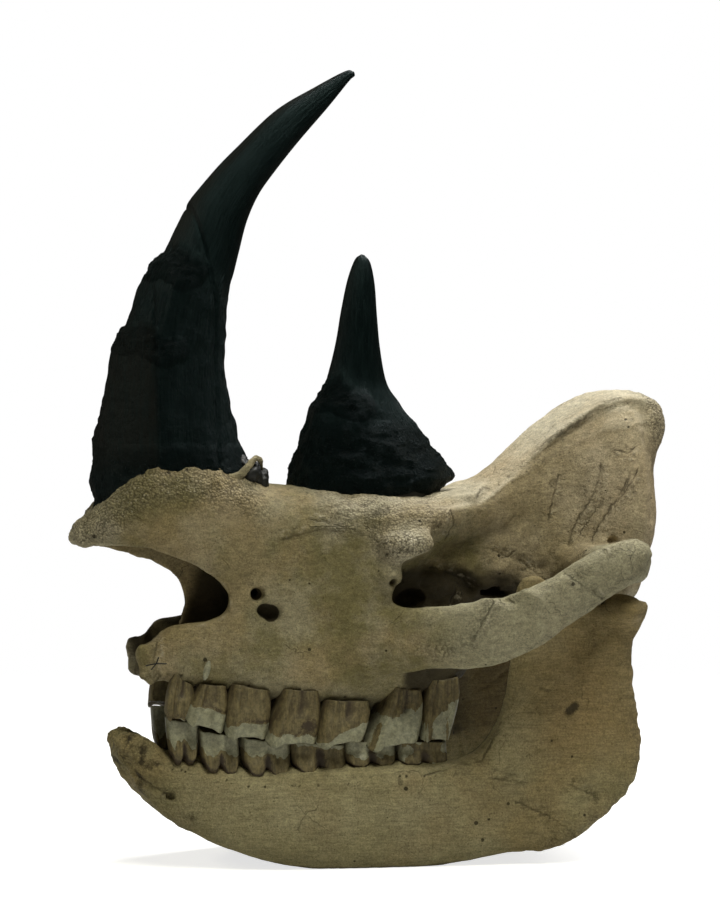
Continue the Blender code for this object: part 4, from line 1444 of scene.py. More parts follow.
class Cranium(Bone):
    """Braincase, face, cheek arches, nasal bones and premaxillae as one continuous bone."""

    fine = CRANIUM_FINE
    bold = CRANIUM_BOLD

    def coarse(self) -> bpy.types.Object:
        """The fused and rounded cranium with its nose and palate hollowed."""
        shells = [
            loft(ROOF, 3),
            loft(CREST_BLOCK, 8),
            loft(UPPER_FACE, 3),
            loft(LOWER_FACE, 3.4),
            loft(BRAINCASE, 2.4),
            loft(OCCIPUT, 3.2),
        ]
        sides = [sweep(stations) for stations in SWEEPS.values()]
        sides += [ellipsoid(centre, radii) for centre, radii in KNOBS]
        shells += sides + [side.mirrored() for side in sides]
        whole = fused(Shell.joined(shells).as_object("cranium"), COARSE_GRID)
        cut(whole, plate(NOSE_NOTCH, NOTCH_HALF_WIDTH))
        cut(whole, loft(NASAL_CAVITY, 2.4).as_object("nose"))
        cut(whole, loft(PALATE_VAULT, 3).as_object("palate"))
        return largest(rounded(fused(whole, COARSE_GRID), ROUNDING))

    def holes(self) -> list[bpy.types.Object]:
        """Forms of the foramina, the orbit's holes, the ear hole, the neck hole and the nose floor."""
        spots = [
            *FORAMINA,
            ((0.0040, -0.100, 0.2665), (0.0046, 0.016, 0.0042)),
            ((0.0105, -0.098, 0.2620), (0.0060, 0.010, 0.0026)),
            ((-0.004, -0.104, 0.2930), (0.0045, 0.008, 0.0030)),
            *ORBIT_GAPS,
            ((0.222, -0.102, 0.3005), (0.0060, 0.018, 0.0050)),
            ((0.068, -0.052, 0.2760), (0.0035, 0.012, 0.0035)),
        ]
        made = hole_pairs(spots)
        made.append(ellipsoid((0.2700, 0, 0.2740), (0.055, 0.022, 0.020)).as_object("neck_hole"))
        made.append(loft(NOSE_FLOOR, 2.4).as_object("nose_floor"))
        made.append(plate(NOSE_NOTCH, NOTCH_HALF_WIDTH))
        return made

    def surface(self, points: Points, facing: Points) -> Surface:
        """Heights, hollows and painted zones of the whole cranium."""
        x, y, z = points.T
        side = abs(y)
        flat = points[:, [0, 2]]
        roof = value_at(ROOF, x, 1)
        sideways = abs(facing[:, 1])
        heights = 0.0010 * noise(points, 0.032, 3) + 0.00035 * noise(points, 0.009, 5)
        cavity = 0.10 * noise(points, 0.012, 6)
        outward = smoothstep(0.0, 0.3, facing[:, 2] + sideways)
        boss = smoothstep(-0.090, -0.135, x) * smoothstep(roof - 0.060, roof - 0.030, z)
        boss = boss * smoothstep(-0.2, 0.2, facing[:, 2] + 0.4 * sideways)
        knob = np.clip(1.6 * spot(points, (0.014, 0, 0.298), (0.024, 0, 0.014)), 0, 1) * smoothstep(0.070, 0.085, side)
        plain = smoothstep(-0.075, -0.035, x) * smoothstep(0.080, 0.050, x) * smoothstep(0.298, 0.318, z)
        band = np.exp(-((line_distance(flat, SUTURE) / 0.0085) ** 2)) * smoothstep(0.09, 0.11, side)
        under = spot(points, (0.040, 0, 0.206), (0.022, 0, 0.011)) * smoothstep(0.09, 0.11, side)
        edge = smoothstep(0.258, 0.272, x) * smoothstep(0.36, 0.40, z) * 0.8
        tail = smoothstep(0.135, 0.160, side) * smoothstep(0.13, 0.19, x) * 0.25
        strong = np.maximum(knob, 0.45 * plain)
        rugose = np.maximum.reduce([0.90 * boss, knob, 0.65 * plain, 0.55 * band, 0.8 * under, edge, tail])
        rugose = np.clip(rugose * outward, 0, 1)
        near = pebbles(points + 0.0015 * noise(points, 0.01, 61, 2)[:, None], 0.0060, 11)
        lumps = 0.55 - near
        heights += (0.0016 * boss + 0.0016 * strong + 0.0010 * edge) * lumps * outward
        heights += (0.0008 * boss + 0.0014 * strong + 0.0016 * edge) * noise(points, 0.012, 15) * outward
        cavity += (0.35 * boss + 0.55 * knob + 0.10 * plain + 0.3 * edge) * outward * np.clip(lumps * 1.6 - 0.35, -0.8, 0.4)
        heights += 0.0030 * knob * outward
        run = np.column_stack([x * 0.30 + z * 0.35, y * 0.5, z - 0.30 * x])
        furrows = noise(run, 0.0045, 63, 3)
        heights += 0.0013 * plain * outward * furrows
        cavity += 0.45 * plain * outward * np.clip(furrows, -0.8, 0.3)
        along = np.column_stack([x * 0.25 + z * 0.1, y * 0.4, z - 0.45 * x])
        fibres = noise(along, 0.0040, 65, 3)
        arch = smoothstep(0.112, 0.125, side)
        heights += 0.00040 * arch * fibres
        cavity += 0.22 * arch * np.clip(fibres, -1, 0.6)
        lines = line_relief(points, facing, LINES)
        heights += lines
        crest_line = (points[:, 2] - np.interp(x, *np.array(CREST_EDGE).T)) * 0.84
        step = smoothstep(0.040, 0.060, x) * smoothstep(0.262, 0.245, x) * smoothstep(0.02, 0.03, side)
        heights += step * (0.0022 * np.exp(-(((crest_line - 0.0015) / 0.0024) ** 2)))
        heights -= step * (0.0030 * np.exp(-(((crest_line + 0.0042) / 0.0034) ** 2)))
        # Lighter along the crest's top edge through the finish: painted highlight.
        cavity += step * 0.5 * np.exp(-(((crest_line - 0.0015) / 0.0018) ** 2))
        crest = np.interp(x, [spot_x for spot_x, _ in CREST], [spot_z for _, spot_z in CREST])
        above = (z - crest) * 0.88 + 0.0009 * noise(points, 0.016, 67, 3)
        ridge = smoothstep(0.045, 0.065, x) * smoothstep(0.278, 0.262, x)
        corner = np.clip(1 - abs(facing[:, 2] - 0.55) / 0.45, 0, 1) * smoothstep(0.2, 0.5, sideways) * (above > -0.02)
        heights += ridge * 0.0016 * corner
        # Lighter on the crest's rounded corner through the finish: painted highlight.
        cavity += ridge * 0.5 * corner
        wall = smoothstep(0.09, 0.13, x) * smoothstep(0.0, -0.010, above) * smoothstep(0.245, 0.265, z)
        wall = wall * smoothstep(0.125, 0.110, side)
        slanted = np.column_stack([x * 1.0 - z * 0.55, y, z * 0.30 + x * 0.10])
        scars = noise(slanted, 0.010, 17, 3)
        heights += wall * 0.0009 * scars
        cavity += wall * 0.12 * np.clip(scars, -1, 0.5)
        fossa = smoothstep(0.30, 0.27, z) * smoothstep(0.02, 0.05, x) * smoothstep(0.19, 0.15, x) * smoothstep(0.105, 0.085, side)
        folds = noise(points, 0.016, 69, 3)
        heights += fossa * 0.0034 * folds
        cavity += fossa * 0.12 * np.clip(folds, -1, 0.3)
        gaps = [(a.top[1][0] + b.top[0][0]) / 2 for a, b in zip(UPPER_TEETH, UPPER_TEETH[1:])]
        low_edge = value_at(LOWER_FACE, x, 2)
        margin = smoothstep(low_edge + 0.010, low_edge + 0.001, z) * smoothstep(0.028, 0.036, side)
        for middle in gaps:
            heights += 0.0030 * margin * np.exp(-(((x - middle) / 0.0035) ** 2))
        for tooth in UPPER_TEETH:
            middle = (tooth.top[0][0] + tooth.top[1][0]) / 2
            level = (tooth.top[0][1] + tooth.top[1][1]) / 2
            spread = (tooth.top[1][0] - tooth.top[0][0]) * 0.24
            for shift in (-0.9, 0.9):
                bulge = np.exp(-(((x - middle - shift * spread) / spread) ** 2) - ((z - level - 0.008) / 0.016) ** 2)
                heights += 0.0017 * bulge * smoothstep(0.03, 0.05, side) * smoothstep(0.2, 0.6, sideways)
            pit = np.exp(-(((x - middle) / 0.002) ** 2) - ((z - level - 0.014) / 0.0015) ** 2)
            cavity -= 0.8 * pit
        rim = np.exp(-((line_distance(flat, NOSE_NOTCH) / 0.0028) ** 2)) * smoothstep(0.04, 0.05, side)
        rim = rim * smoothstep(0.2, 0.7, sideways)
        heights += 0.0009 * rim
        # Lighter along the nose rim through the finish: painted highlight.
        cavity += 0.9 * rim * smoothstep(-0.21, -0.17, x)
        broken = smoothstep(-0.196, -0.206, x) * smoothstep(0.235, 0.222, z)
        chips = noise(points, 0.010, 19)
        heights += broken * (0.0015 * chips - 0.0005)
        cavity += broken * np.clip(chips, -0.9, 0.2) * 0.4
        tip = smoothstep(-0.240, -0.266, x) * smoothstep(0.345, 0.300, z)
        heights += tip * 0.0018 * noise(points, 0.009, 23)
        cavity += tip * 0.5 * np.clip(noise(points, 0.008, 25), -1, 0.4)
        heights += 0.0060 * spot(points, (0.275, 0.070, 0.318), (0.020, 0, 0.030)) * smoothstep(0.2, 0.6, facing[:, 0]) * (side > 0.03)
        tone = 0.10 + 0.18 * smoothstep(0.02, 0.20, x) * smoothstep(0.24, 0.34, z)
        # Painted light: lighter on the upward-facing roof, where the light falls from above.
        top = smoothstep(0.30, 0.75, facing[:, 2])
        tone += (0.36 + 0.34 * smoothstep(0.06, 0.14, x)) * top * smoothstep(0.315, 0.345, z) * smoothstep(-0.10, 0.02, x)
        # Painted highlight on the crest's rounded corner.
        tone += 0.40 * ridge * corner
        # The nose-tip term is painted light from above.
        tone += 0.22 * smoothstep(-0.235, -0.262, x) + 0.12 * boss + 0.50 * knob + 0.22 * plain
        tone += 0.40 * smoothstep(0.225, 0.250, x)
        tone += 0.14 * smoothstep(0.21, 0.16, z) * smoothstep(-0.10, 0.0, x)
        tone += 0.55 * smoothstep(0.17, 0.235, x) * smoothstep(0.27, 0.31, z) + 0.16 * wall + 0.14 * smoothstep(0.03, 0.08, x) * smoothstep(0.11, 0.13, side)
        warm = 0.42 * wall + 0.20 * smoothstep(0.20, 0.25, x) * smoothstep(0.42, 0.38, z) * outward
        grey = 0.80 * smoothstep(0.100, 0.118, side) * smoothstep(0.015, 0.060, x)
        # Painted shade: dark in the fossa behind the orbit, inside the foramina and orbit gaps, and on the nose's inner
        # faces near the premaxilla.
        dark = 0.85 * smoothstep(0.285, 0.250, z) * smoothstep(0.005, 0.03, x) * smoothstep(0.17, 0.13, x) * smoothstep(0.098, 0.085, side)
        for centre, radii in FORAMINA:
            dark += 0.75 * hollow(points, centre, radii)
        for centre, radii in ORBIT_GAPS:
            dark += 1.0 * spot(points, (centre[0], 0, centre[2]), (radii[0] * 1.35, 0, radii[2] * 1.35)) * smoothstep(0.095, 0.085, side)
        inner = smoothstep(0.3, -0.2, facing[:, 1] * np.sign(y))
        dark += 0.55 * inner * smoothstep(-0.195, -0.205, x) * smoothstep(0.235, 0.225, z)
        return Surface(heights, cavity, rugose, np.clip(tone, 0, 1), np.clip(warm, 0, 1), grey, dark)

    def build(self) -> bpy.types.Object:
        """Makes the cranium and lets it stand for its solids."""
        obj = self.shaped()
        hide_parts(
            "braincase",
            "upper_jaw",
            "nasal_bones",
            "cheek_arch_left",
            "cheek_arch_right",
            "premaxilla_left",
            "premaxilla_right",
        )
        return obj


class Mandible(Bone):
    """The lower jaw without its teeth."""

    fine = JAW_FINE
    bold = JAW_BOLD

    def half(self) -> Shell:
        """The left side of the jaw: its outline given thickness and set along its plan."""
        obj = fused(plate(JAW_SIDE, BLANK_HALF), COARSE_GRID)
        points = coordinates(obj)
        edge = smooth_through([*JAW_SIDE, JAW_SIDE[0]], 4)
        depth = line_distance(points[:, [0, 2]], edge)
        shy = 1 - np.clip(depth / JAW_EDGE_RADIUS, 0, 1)
        fullness = 0.35 + 0.65 * np.sqrt(1 - shy**2)
        thickness = value_at(JAW_PLAN, points[:, 0], 2)
        thickness = thickness * (1 - 0.30 * np.clip((points[:, 2] - 0.13) / 0.06, 0, 1))
        middle = value_at(JAW_PLAN, points[:, 0], 1)
        points[:, 1] = -middle + points[:, 1] / BLANK_HALF * thickness * fullness
        faces = [tuple(face.vertices) for face in obj.data.polygons]
        bpy.data.objects.remove(obj)
        return Shell(points, faces)

    def coarse(self) -> bpy.types.Object:
        """The fused and rounded jaw."""
        half = self.half()
        condyle = ellipsoid(*JAW_CONDYLE)
        shells = [half, half.mirrored(), condyle, condyle.mirrored(), loft(SYMPHYSIS)]
        whole = fused(Shell.joined(shells).as_object("jaw"), COARSE_GRID)
        return largest(rounded(whole, ROUNDING))

    def holes(self) -> list[bpy.types.Object]:
        """Forms of the mental foramina and of the empty front sockets."""
        spots = [
            ((-0.1935, -0.050, 0.0690), (0.0050, 0.014, 0.0030)),
            ((-0.1878, -0.050, 0.0625), (0.0024, 0.014, 0.0024)),
            ((-0.2010, -0.046, 0.0765), (0.0040, 0.010, 0.0020)),
            ((-0.2220, -0.014, 0.1270), (0.0095, 0.0050, 0.0100)),
            ((-0.2330, -0.030, 0.1230), (0.0035, 0.0100, 0.0040)),
            ((-0.2050, -0.030, 0.1200), (0.0040, 0.0090, 0.0050)),
        ]
        return hole_pairs(spots)

    def surface(self, points: Points, facing: Points) -> Surface:
        """Heights, hollows and painted zones of the jaw."""
        x, y, z = points.T
        flat = points[:, [0, 2]]
        sideways = abs(facing[:, 1])
        heights = 0.0009 * noise(points, 0.034, 31) + 0.00030 * noise(points, 0.009, 33)
        cavity = 0.10 * noise(points, 0.012, 32)
        corner = [(0.150, 0.020), (0.200, 0.036), (0.232, 0.072), (0.240, 0.112), (0.232, 0.150)]
        angle = np.exp(-((line_distance(flat, corner) / 0.016) ** 2))
        tip = smoothstep(-0.195, -0.225, x) * smoothstep(0.07, 0.10, z)
        front = smoothstep(-0.150, -0.185, x) * smoothstep(0.105, 0.085, z + 0.9 * (x + 0.19))
        rugose = np.clip(np.maximum.reduce([0.45 * angle, 0.6 * tip, 0.35 * front]), 0, 1)
        near = pebbles(points, 0.0100, 35)
        lumps = noise(points, 0.013, 37)
        heights += angle * (0.0014 * (0.5 - near) + 0.0016 * lumps)
        heights += tip * 0.0026 * noise(points, 0.010, 38) + front * 0.0014 * lumps
        cavity += tip * np.clip(noise(points, 0.009, 39), -1, 0.2) + 0.6 * front * np.clip(noise(points, 0.010, 40), -1, 0.2)
        cavity += 0.30 * angle * np.clip(lumps, -1, 0.5)
        fans = noise(np.column_stack([np.arctan2(z - 0.13, x - 0.12) * 0.10, y * 0.4, np.hypot(x - 0.12, z - 0.13) * 0.22]), 0.0080, 45, 3)
        ramus = smoothstep(0.09, 0.14, x) * smoothstep(0.26, 0.20, z)
        heights += 0.0012 * ramus * fans
        cavity += 0.20 * ramus * np.clip(fans, -1, 0.5)
        broad = [
            Line(JAW_SLOT, 0.0030, -0.0020, 0.0),
            Line(((0.130, 0.225), (0.133, 0.190), (0.122, 0.150), (0.100, 0.118)), 0.0060, 0.0024),
            Line(((0.150, 0.185), (0.165, 0.140), (0.160, 0.100)), 0.0140, -0.0026),
            Line(((0.192, 0.210), (0.205, 0.150), (0.210, 0.090)), 0.0080, 0.0014),
            Line(((-0.10, 0.046), (-0.02, 0.040), (0.06, 0.048)), 0.0150, 0.0016),
            Line(((-0.10, 0.070), (0.0, 0.068), (0.07, 0.080)), 0.0080, -0.0010),
        ]
        heights += line_relief(points, facing, broad)
        marks = [
            Line(((0.1760, 0.1480), (0.1700, 0.1440)), 0.0040, -0.0014),
            Line(((0.1440, 0.1660), (0.1500, 0.1630)), 0.0020, -0.0007),
        ]
        marked = line_relief(points, facing, marks)
        heights += marked
        cavity += np.clip(marked / 0.0012, -0.8, 0)
        margin = smoothstep(0.080, 0.092, z) * smoothstep(0.10, 0.06, x) * smoothstep(-0.21, -0.19, x)
        for before, after in zip(LOWER_TEETH, LOWER_TEETH[1:]):
            middle = (before.top[1][0] + after.top[0][0]) / 2
            heights += 0.0022 * margin * np.exp(-(((x - middle) / 0.0035) ** 2))
        for tooth in LOWER_TEETH:
            length = tooth.base[1][0] - tooth.base[0][0]
            level = (tooth.base[0][1] + tooth.base[1][1]) / 2
            for share in (0.25, 0.75):
                middle = tooth.base[0][0] + share * length
                bulge = np.exp(-(((x - middle) / (0.20 * length)) ** 2) - ((z - level + 0.012) / 0.014) ** 2)
                heights += 0.0011 * bulge * smoothstep(0.2, 0.6, sideways)
            for share in (0.05, 0.40, 0.62, 0.95):
                middle = tooth.base[0][0] + share * length
                cavity -= 0.9 * np.exp(-(((x - middle) / 0.0010) ** 2) - ((z - level + 0.009 + 0.012 * (share % 0.3)) / 0.0010) ** 2)
        tone = 0.34 + 0.14 * smoothstep(0.015, 0.05, z) * smoothstep(0.10, -0.02, x) * smoothstep(-0.17, -0.10, x)
        # Darker towards the ramus, and at the front as painted shade on the down-turned jaw front.
        tone -= 0.14 * smoothstep(0.08, 0.14, x) + 0.34 * smoothstep(-0.16, -0.205, x)
        warm = 0.60 * smoothstep(0.09, 0.16, x) * smoothstep(0.06, 0.12, z)
        grey = 0.22 * smoothstep(0.09, 0.05, z) * smoothstep(0.12, 0.02, x)
        # Painted shade: dark on the jaw's inner faces and on its down-turned front.
        inner = smoothstep(0.2, -0.3, facing[:, 1] * np.sign(y))
        dark = (0.80 - 0.25 * smoothstep(0.10, 0.15, x)) * inner * smoothstep(0.03, 0.07, x) * smoothstep(0.085, 0.105, z)
        dark = dark + 0.30 * smoothstep(-0.165, -0.215, x)
        return Surface(heights, cavity, rugose, np.clip(tone, 0, 1), warm, grey, dark)

    def build(self) -> bpy.types.Object:
        """Makes the jaw and lets it stand for its solid."""
        obj = self.shaped()
        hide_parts("mandible")
        return obj


class Wear(Enum):
    """How a tooth has worn and stained."""

    BROWN = "brown"
    BANDED = "banded"
    PATCHED = "patched"
    GREY = "grey"


@dataclass(frozen=True)
class UpperTooth:
    """A crown of the upper jaw: corners of its outer wall as (x, z), front and back."""

    name: str
    top: tuple[tuple[float, float], tuple[float, float]]
    bottom: tuple[tuple[float, float], tuple[float, float]]
    outer: float
    half_width: float
    enamel: tuple[float, float]
    wear: Wear


@dataclass(frozen=True)
class LowerTooth:
    """A two-lobed tooth of the lower jaw: corners as (x, z), front and back."""

    name: str
    top: tuple[tuple[float, float], tuple[float, float]]
    base: tuple[tuple[float, float], tuple[float, float]]
    outer: float
    half_width: float
    enamel: float
    split: float
    prong: float


UPPER_TEETH = [
    UpperTooth("p1", ((-0.1937, 0.172), (-0.1741, 0.1625)), ((-0.1984, 0.1438), (-0.1806, 0.1413)), 0.0500, 0.0100, (1.1, 1.0), Wear.BROWN),
    UpperTooth("p2", ((-0.1704, 0.164), (-0.1441, 0.1594)), ((-0.1816, 0.1407), (-0.1469, 0.1292)), 0.0590, 0.0170, (0.42, 0.46), Wear.BANDED),
    UpperTooth("p3", ((-0.1411, 0.1603), (-0.1043, 0.1543)), ((-0.1458, 0.1265), (-0.1072, 0.1241)), 0.0665, 0.0220, (0.66, 0.52), Wear.BANDED),
    UpperTooth("p4", ((-0.0950, 0.1541), (-0.0588, 0.1528)), ((-0.1091, 0.1179), (-0.0607, 0.1196)), 0.0745, 0.0250, (0.72, 0.86), Wear.PATCHED),
    UpperTooth("m1", ((-0.0555, 0.1451), (-0.0123, 0.1453)), ((-0.0622, 0.1149), (-0.0172, 0.1214)), 0.0800, 0.0265, (0.88, 0.34), Wear.BANDED),
    UpperTooth("m2", ((0.0054, 0.1523), (0.0385, 0.1511)), ((-0.0148, 0.1105), (0.0356, 0.1186)), 0.0820, 0.0270, (0.26, 0.02), Wear.GREY),
    UpperTooth("m3", ((0.0431, 0.1572), (0.0755, 0.1589)), ((0.0372, 0.1183), (0.0647, 0.1172)), 0.0800, 0.0220, (0.60, 0.10), Wear.GREY),
]
LOWER_TEETH = [
    LowerTooth("p2", ((-0.1975, 0.1413), (-0.1666, 0.1373)), ((-0.1938, 0.1044), (-0.1685, 0.1024)), 0.0455, 0.0095, 0.62, 0.10, 0.0075),
    LowerTooth("p3", ((-0.1682, 0.1301), (-0.1295, 0.1249)), ((-0.1654, 0.0969), (-0.1305, 0.0899)), 0.0530, 0.0115, 0.52, 0.12, 0.0085),
    LowerTooth("p4", ((-0.1293, 0.1231), (-0.0827, 0.1175)), ((-0.1274, 0.0917), (-0.0837, 0.0852)), 0.0600, 0.0130, 0.42, 0.35, 0.0090),
    LowerTooth("m1", ((-0.0832, 0.1183), (-0.0304, 0.1134)), ((-0.0813, 0.0924), (-0.0314, 0.0855)), 0.0655, 0.0140, 0.12, 1.00, 0.0060),
    LowerTooth("m2", ((-0.0336, 0.1179), (0.0169, 0.1149)), ((-0.0317, 0.0955), (0.0159, 0.0944)), 0.0700, 0.0140, 0.60, 0.70, 0.0040),
    LowerTooth("m3", ((0.0166, 0.1173), (0.0657, 0.1130)), ((0.0176, 0.0958), (0.0657, 0.0938)), 0.0740, 0.0135, 0.50, 0.50, 0.0025),
]
TOOTH_SIDES = 104
TOOTH_ROWS = 34
BITE_FALL = 0.25
# Rings of a chewing face: share of the rim's size, depth, enamel and hollow
CHEWING_FACE = (
    (0.95, 0.0, 1.0, 0.2),
    (0.86, 0.35, 0.2, -0.4),
    (0.66, 1.0, 0.0, -0.5),
    (0.40, 0.75, 0.35, -0.2),
    (0.16, 1.1, 0.0, -0.6),
)


@dataclass
class ToothRow:
    """The teeth of one jaw on one side, with painted enamel, stains with painted shade, and hollows."""

    name: str
    left: bool
    shells: list[Shell] = field(default_factory=list)
    enamel: list[Points] = field(default_factory=list)
    mark: list[Points] = field(default_factory=list)
    relief: list[Points] = field(default_factory=list)

    def close(
        self,
        rings: list[Points],
        enamel: list[Points],
        mark: list[Points],
        relief: list[Points],
        lift: float,
        stained: float,
        seed: int,
    ) -> None:
        """Adds the worn chewing face inside a crown's rim and keeps the tooth.

        Args:
            rings: the tooth's rings for the left side, the rim last.
            enamel: each ring's painted enamel.
            mark: each ring's stains and painted shade.
            relief: each ring's hollows.
            lift: how far the worn dentine lies from the enamel rim, along Z.
            stained: the chewing face's stain.
            seed: varies the wear.
        """
        ring = rings[-1]
        centre = ring.mean(axis=0)
        for share, depth, shell, dip in CHEWING_FACE:
            inner = centre + (ring - centre) * (share, share, 1)
            inner[:, 2] = centre[2] + (ring[:, 2] - centre[2]) * share + lift * depth
            inner[:, 2] += 0.0005 * noise(inner, 0.008, seed, 2)
            rings.append(inner)
            enamel.append(np.full(TOOTH_SIDES, shell))
            mark.append(np.full(TOOTH_SIDES, stained))
            relief.append(np.full(TOOTH_SIDES, dip))
        form = Shell.of_rings(rings)
        self.shells.append(form if self.left else form.mirrored())
        self.enamel.append(np.concatenate(enamel))
        self.mark.append(np.concatenate(mark))
        self.relief.append(np.concatenate(relief))

    def add_upper(self, tooth: UpperTooth, seed: int) -> None:
        """A crown that flares towards its worn edge, with ribs on its outer wall and two roots above."""
        across, along = rounded_ring(TOOTH_SIDES, 4.2)
        wall = smoothstep(-0.30, -0.80, across)
        edge = smoothstep(0.80, 1.0, abs(along))
        rings, enamel, mark, relief = [], [], [], []
        random = lattice(np.array([[seed, 3, 5], [seed, 7, 1], [seed, 2, 8]]), 9)
        for v in np.linspace(-0.35, 1.0, TOOTH_ROWS):
            grow = max(v, 0.0)
            front = np.interp(v, (-0.35, 0, 1), (tooth.top[0][0] + 0.003, tooth.top[0][0] - 0.0008, tooth.bottom[0][0]))
            back = np.interp(v, (-0.35, 0, 1), (tooth.top[1][0] + 0.001, tooth.top[1][0] + 0.0030, tooth.bottom[1][0] + 0.0012))
            swell = 0.0009 * math.sin(math.pi * min(grow * 1.1, 1))
            middle, half = (front + back) / 2, (back - front) / 2 + swell
            share = (along + 1) / 2
            x = middle + along * half
            outer_shift = 0.0026 * (grow - 1) + 0.0010 * math.sin(3 * grow)
            reach = np.where(across > 0, tooth.half_width * (0.80 + 0.20 * grow), tooth.half_width)
            y = -(tooth.outer - tooth.half_width) + across * reach - np.where(across < 0, outer_shift, 0) * abs(across)
            ribs = 0.0017 * np.exp(-(((along + 0.66) / 0.16) ** 2)) + 0.0013 * np.exp(-(((along + 0.05) / 0.20) ** 2))
            ribs += 0.0009 * np.exp(-(((along - 0.72) / 0.16) ** 2)) - 0.0010 * np.exp(-(((along + 0.38) / 0.12) ** 2))
            cleft = np.exp(-(((along - 0.10 - 0.2 * (random[0] - 0.5)) / 0.13) ** 2)) * smoothstep(0.46, 0.10, v)
            fold = np.exp(-(((along + 0.45) / 0.08) ** 2)) * smoothstep(0.60, 0.10, v)
            y = y + wall * (-ribs * (0.4 + 0.6 * grow) + 0.0065 * cleft + 0.0020 * fold)
            top = tooth.top[0][1] + share * (tooth.top[1][1] - tooth.top[0][1])
            low = tooth.bottom[0][1] + share * (tooth.bottom[1][1] - tooth.bottom[0][1])
            cusp = 0.0030 * np.exp(-(((share - 0.13) / 0.13) ** 2)) - 0.0006 * np.exp(-(((share - 0.56) / 0.16) ** 2))
            cusp += 0.0018 * np.exp(-(((share - 0.86) / 0.14) ** 2)) + 0.0008
            low = low - BITE_FALL * (abs(y) - tooth.outer) * grow - cusp * wall
            if tooth.name == "m3":
                low = low + wall * 0.0016 * noise(np.column_stack([x, y, 0 * x]), 0.0035, seed, 3)
            z = top + v * (low - top)
            ring = np.column_stack([x, y, z])
            streaks = noise(np.column_stack([x, y, z * 0.12]), 0.0045, seed, 3)
            chips = noise(ring, 0.006, seed + 5, 2)
            outline = np.column_stack([along * 0.5, across, np.zeros_like(along)])
            ring = ring + outline * (0.00050 * streaks + 0.0003 * chips)[:, None]
            start = tooth.enamel[0] + share * (tooth.enamel[1] - tooth.enamel[0])
            start = start + 0.10 * noise(np.column_stack([x, y, z * 0 + seed]), 0.010, seed + 2, 3)
            shell = smoothstep(-0.10, 0.10, v - start)
            if tooth.name == "m2":
                shell = shell * (1 - 0.95 * np.exp(-(((share - 0.30) / 0.22) ** 2)) * smoothstep(0.45, 0.20, v))
                shell = shell * (1 - 0.9 * np.exp(-(((share - 0.06) / 0.05) ** 2)) * smoothstep(0.3, 0.5, v))
            if tooth.name == "m3":
                shell = shell * (1 - 0.8 * smoothstep(0.30, 0.60, noise(np.column_stack([x, y, z * 0.08]), 0.005, seed + 4, 2)))
            spots = np.zeros(TOOTH_SIDES)
            if tooth.wear in (Wear.BANDED, Wear.PATCHED):
                strength = 0.34 if tooth.name == "m1" else 0.62
                spots = np.exp(-(((v - start + 0.07) / 0.085) ** 2)) * strength * (0.55 + 0.45 * smoothstep(-0.8, 0.4, along))
            if tooth.wear is Wear.PATCHED:
                spots = np.maximum(spots, 0.90 * np.exp(-(((along - 0.42) / 0.40) ** 2) - ((v - 0.56) / 0.22) ** 2))
            if tooth.wear is Wear.BROWN:
                spots = spots + 0.40 * smoothstep(0.6, 0.9, v) + 0.30 * fold
            # Darker in the cleft and where the tooth enters the bone: painted shade over the real stains.
            spots = np.maximum(spots * wall, 0.55 * cleft * wall)
            spots = np.maximum(spots, 0.26 * smoothstep(0.08, -0.04, v))
            rings.append(ring)
            enamel.append(shell)
            mark.append(spots)
            relief.append(0.30 * streaks - 0.45 * edge * (1 - 0.5 * grow) - 0.8 * cleft * wall - 0.3 * fold * wall)
        self.close(rings, enamel, mark, relief, 0.0016, 0.25, seed)

    def add_lower(self, tooth: LowerTooth, seed: int) -> None:
        """A crown of two lobes whose roots end in a W where they enter the jaw."""
        across, along = rounded_ring(TOOTH_SIDES, 3.6)
        wall = smoothstep(0.0, -0.60, across)
        share = (along + 1) / 2
        rings, enamel, mark, relief = [], [], [], []
        for v in np.linspace(1.50, 0.0, TOOTH_ROWS):
            sink = max(v - 1, 0.0)
            front = tooth.top[0][0] + min(v, 1.0) * (tooth.base[0][0] - tooth.top[0][0]) + 0.008 * sink
            back = tooth.top[1][0] + min(v, 1.0) * (tooth.base[1][0] - tooth.top[1][0]) - 0.008 * sink
            belly = 0.0006 * math.sin(math.pi * min(v, 1.0))
            x = (front + back) / 2 + along * ((back - front) / 2 + belly - 0.0003)
            groove = np.exp(-(((along - 0.02) / (0.14 + 0.06 * tooth.split)) ** 2))
            depth = 0.0060 * tooth.split + 0.0070 * smoothstep(0.45, 0.95, v)
            lobes = 0.0014 * np.cos(2 * math.pi * (along - 0.5)) * -1
            root = 0.0042 * smoothstep(0.35, 0.85, v) - 0.0120 * smoothstep(0.97, 1.30, v)
            y = -(tooth.outer - tooth.half_width) + across * tooth.half_width
            y = y + np.sign(-across) * groove * depth * abs(across) - wall * (lobes + root)
            corner = smoothstep(0.78, 1.0, abs(along))
            y = y + wall * corner * 0.0022
            top = tooth.top[0][1] + share * (tooth.top[1][1] - tooth.top[0][1]) - 0.0012
            top = top - BITE_FALL * (abs(y) - tooth.outer) * max(1 - 1.5 * v, 0)
            low = tooth.base[0][1] + share * (tooth.base[1][1] - tooth.base[0][1])
            low = low + tooth.prong * (0.5 + 0.5 * np.cos(4 * math.pi * share)) ** 2.0 - 0.0012
            z = top + v * (low - top)
            ring = np.column_stack([x, y, z])
            streaks = noise(np.column_stack([x, y, z * 0.12]), 0.0042, seed, 3)
            outline = np.column_stack([along * 0.5, across, np.zeros_like(along)])
            ring = ring + outline * (0.00040 * streaks)[:, None]
            start = tooth.enamel + 0.16 * noise(np.column_stack([x, y, z * 0 + seed]), 0.006, seed + 3, 3)
            shell = smoothstep(0.10, -0.10, v - start)
            if tooth.name == "m3":
                shell = smoothstep(-0.1, 0.35, noise(ring, 0.009, seed + 4, 3))
            rings.append(ring)
            enamel.append(shell)
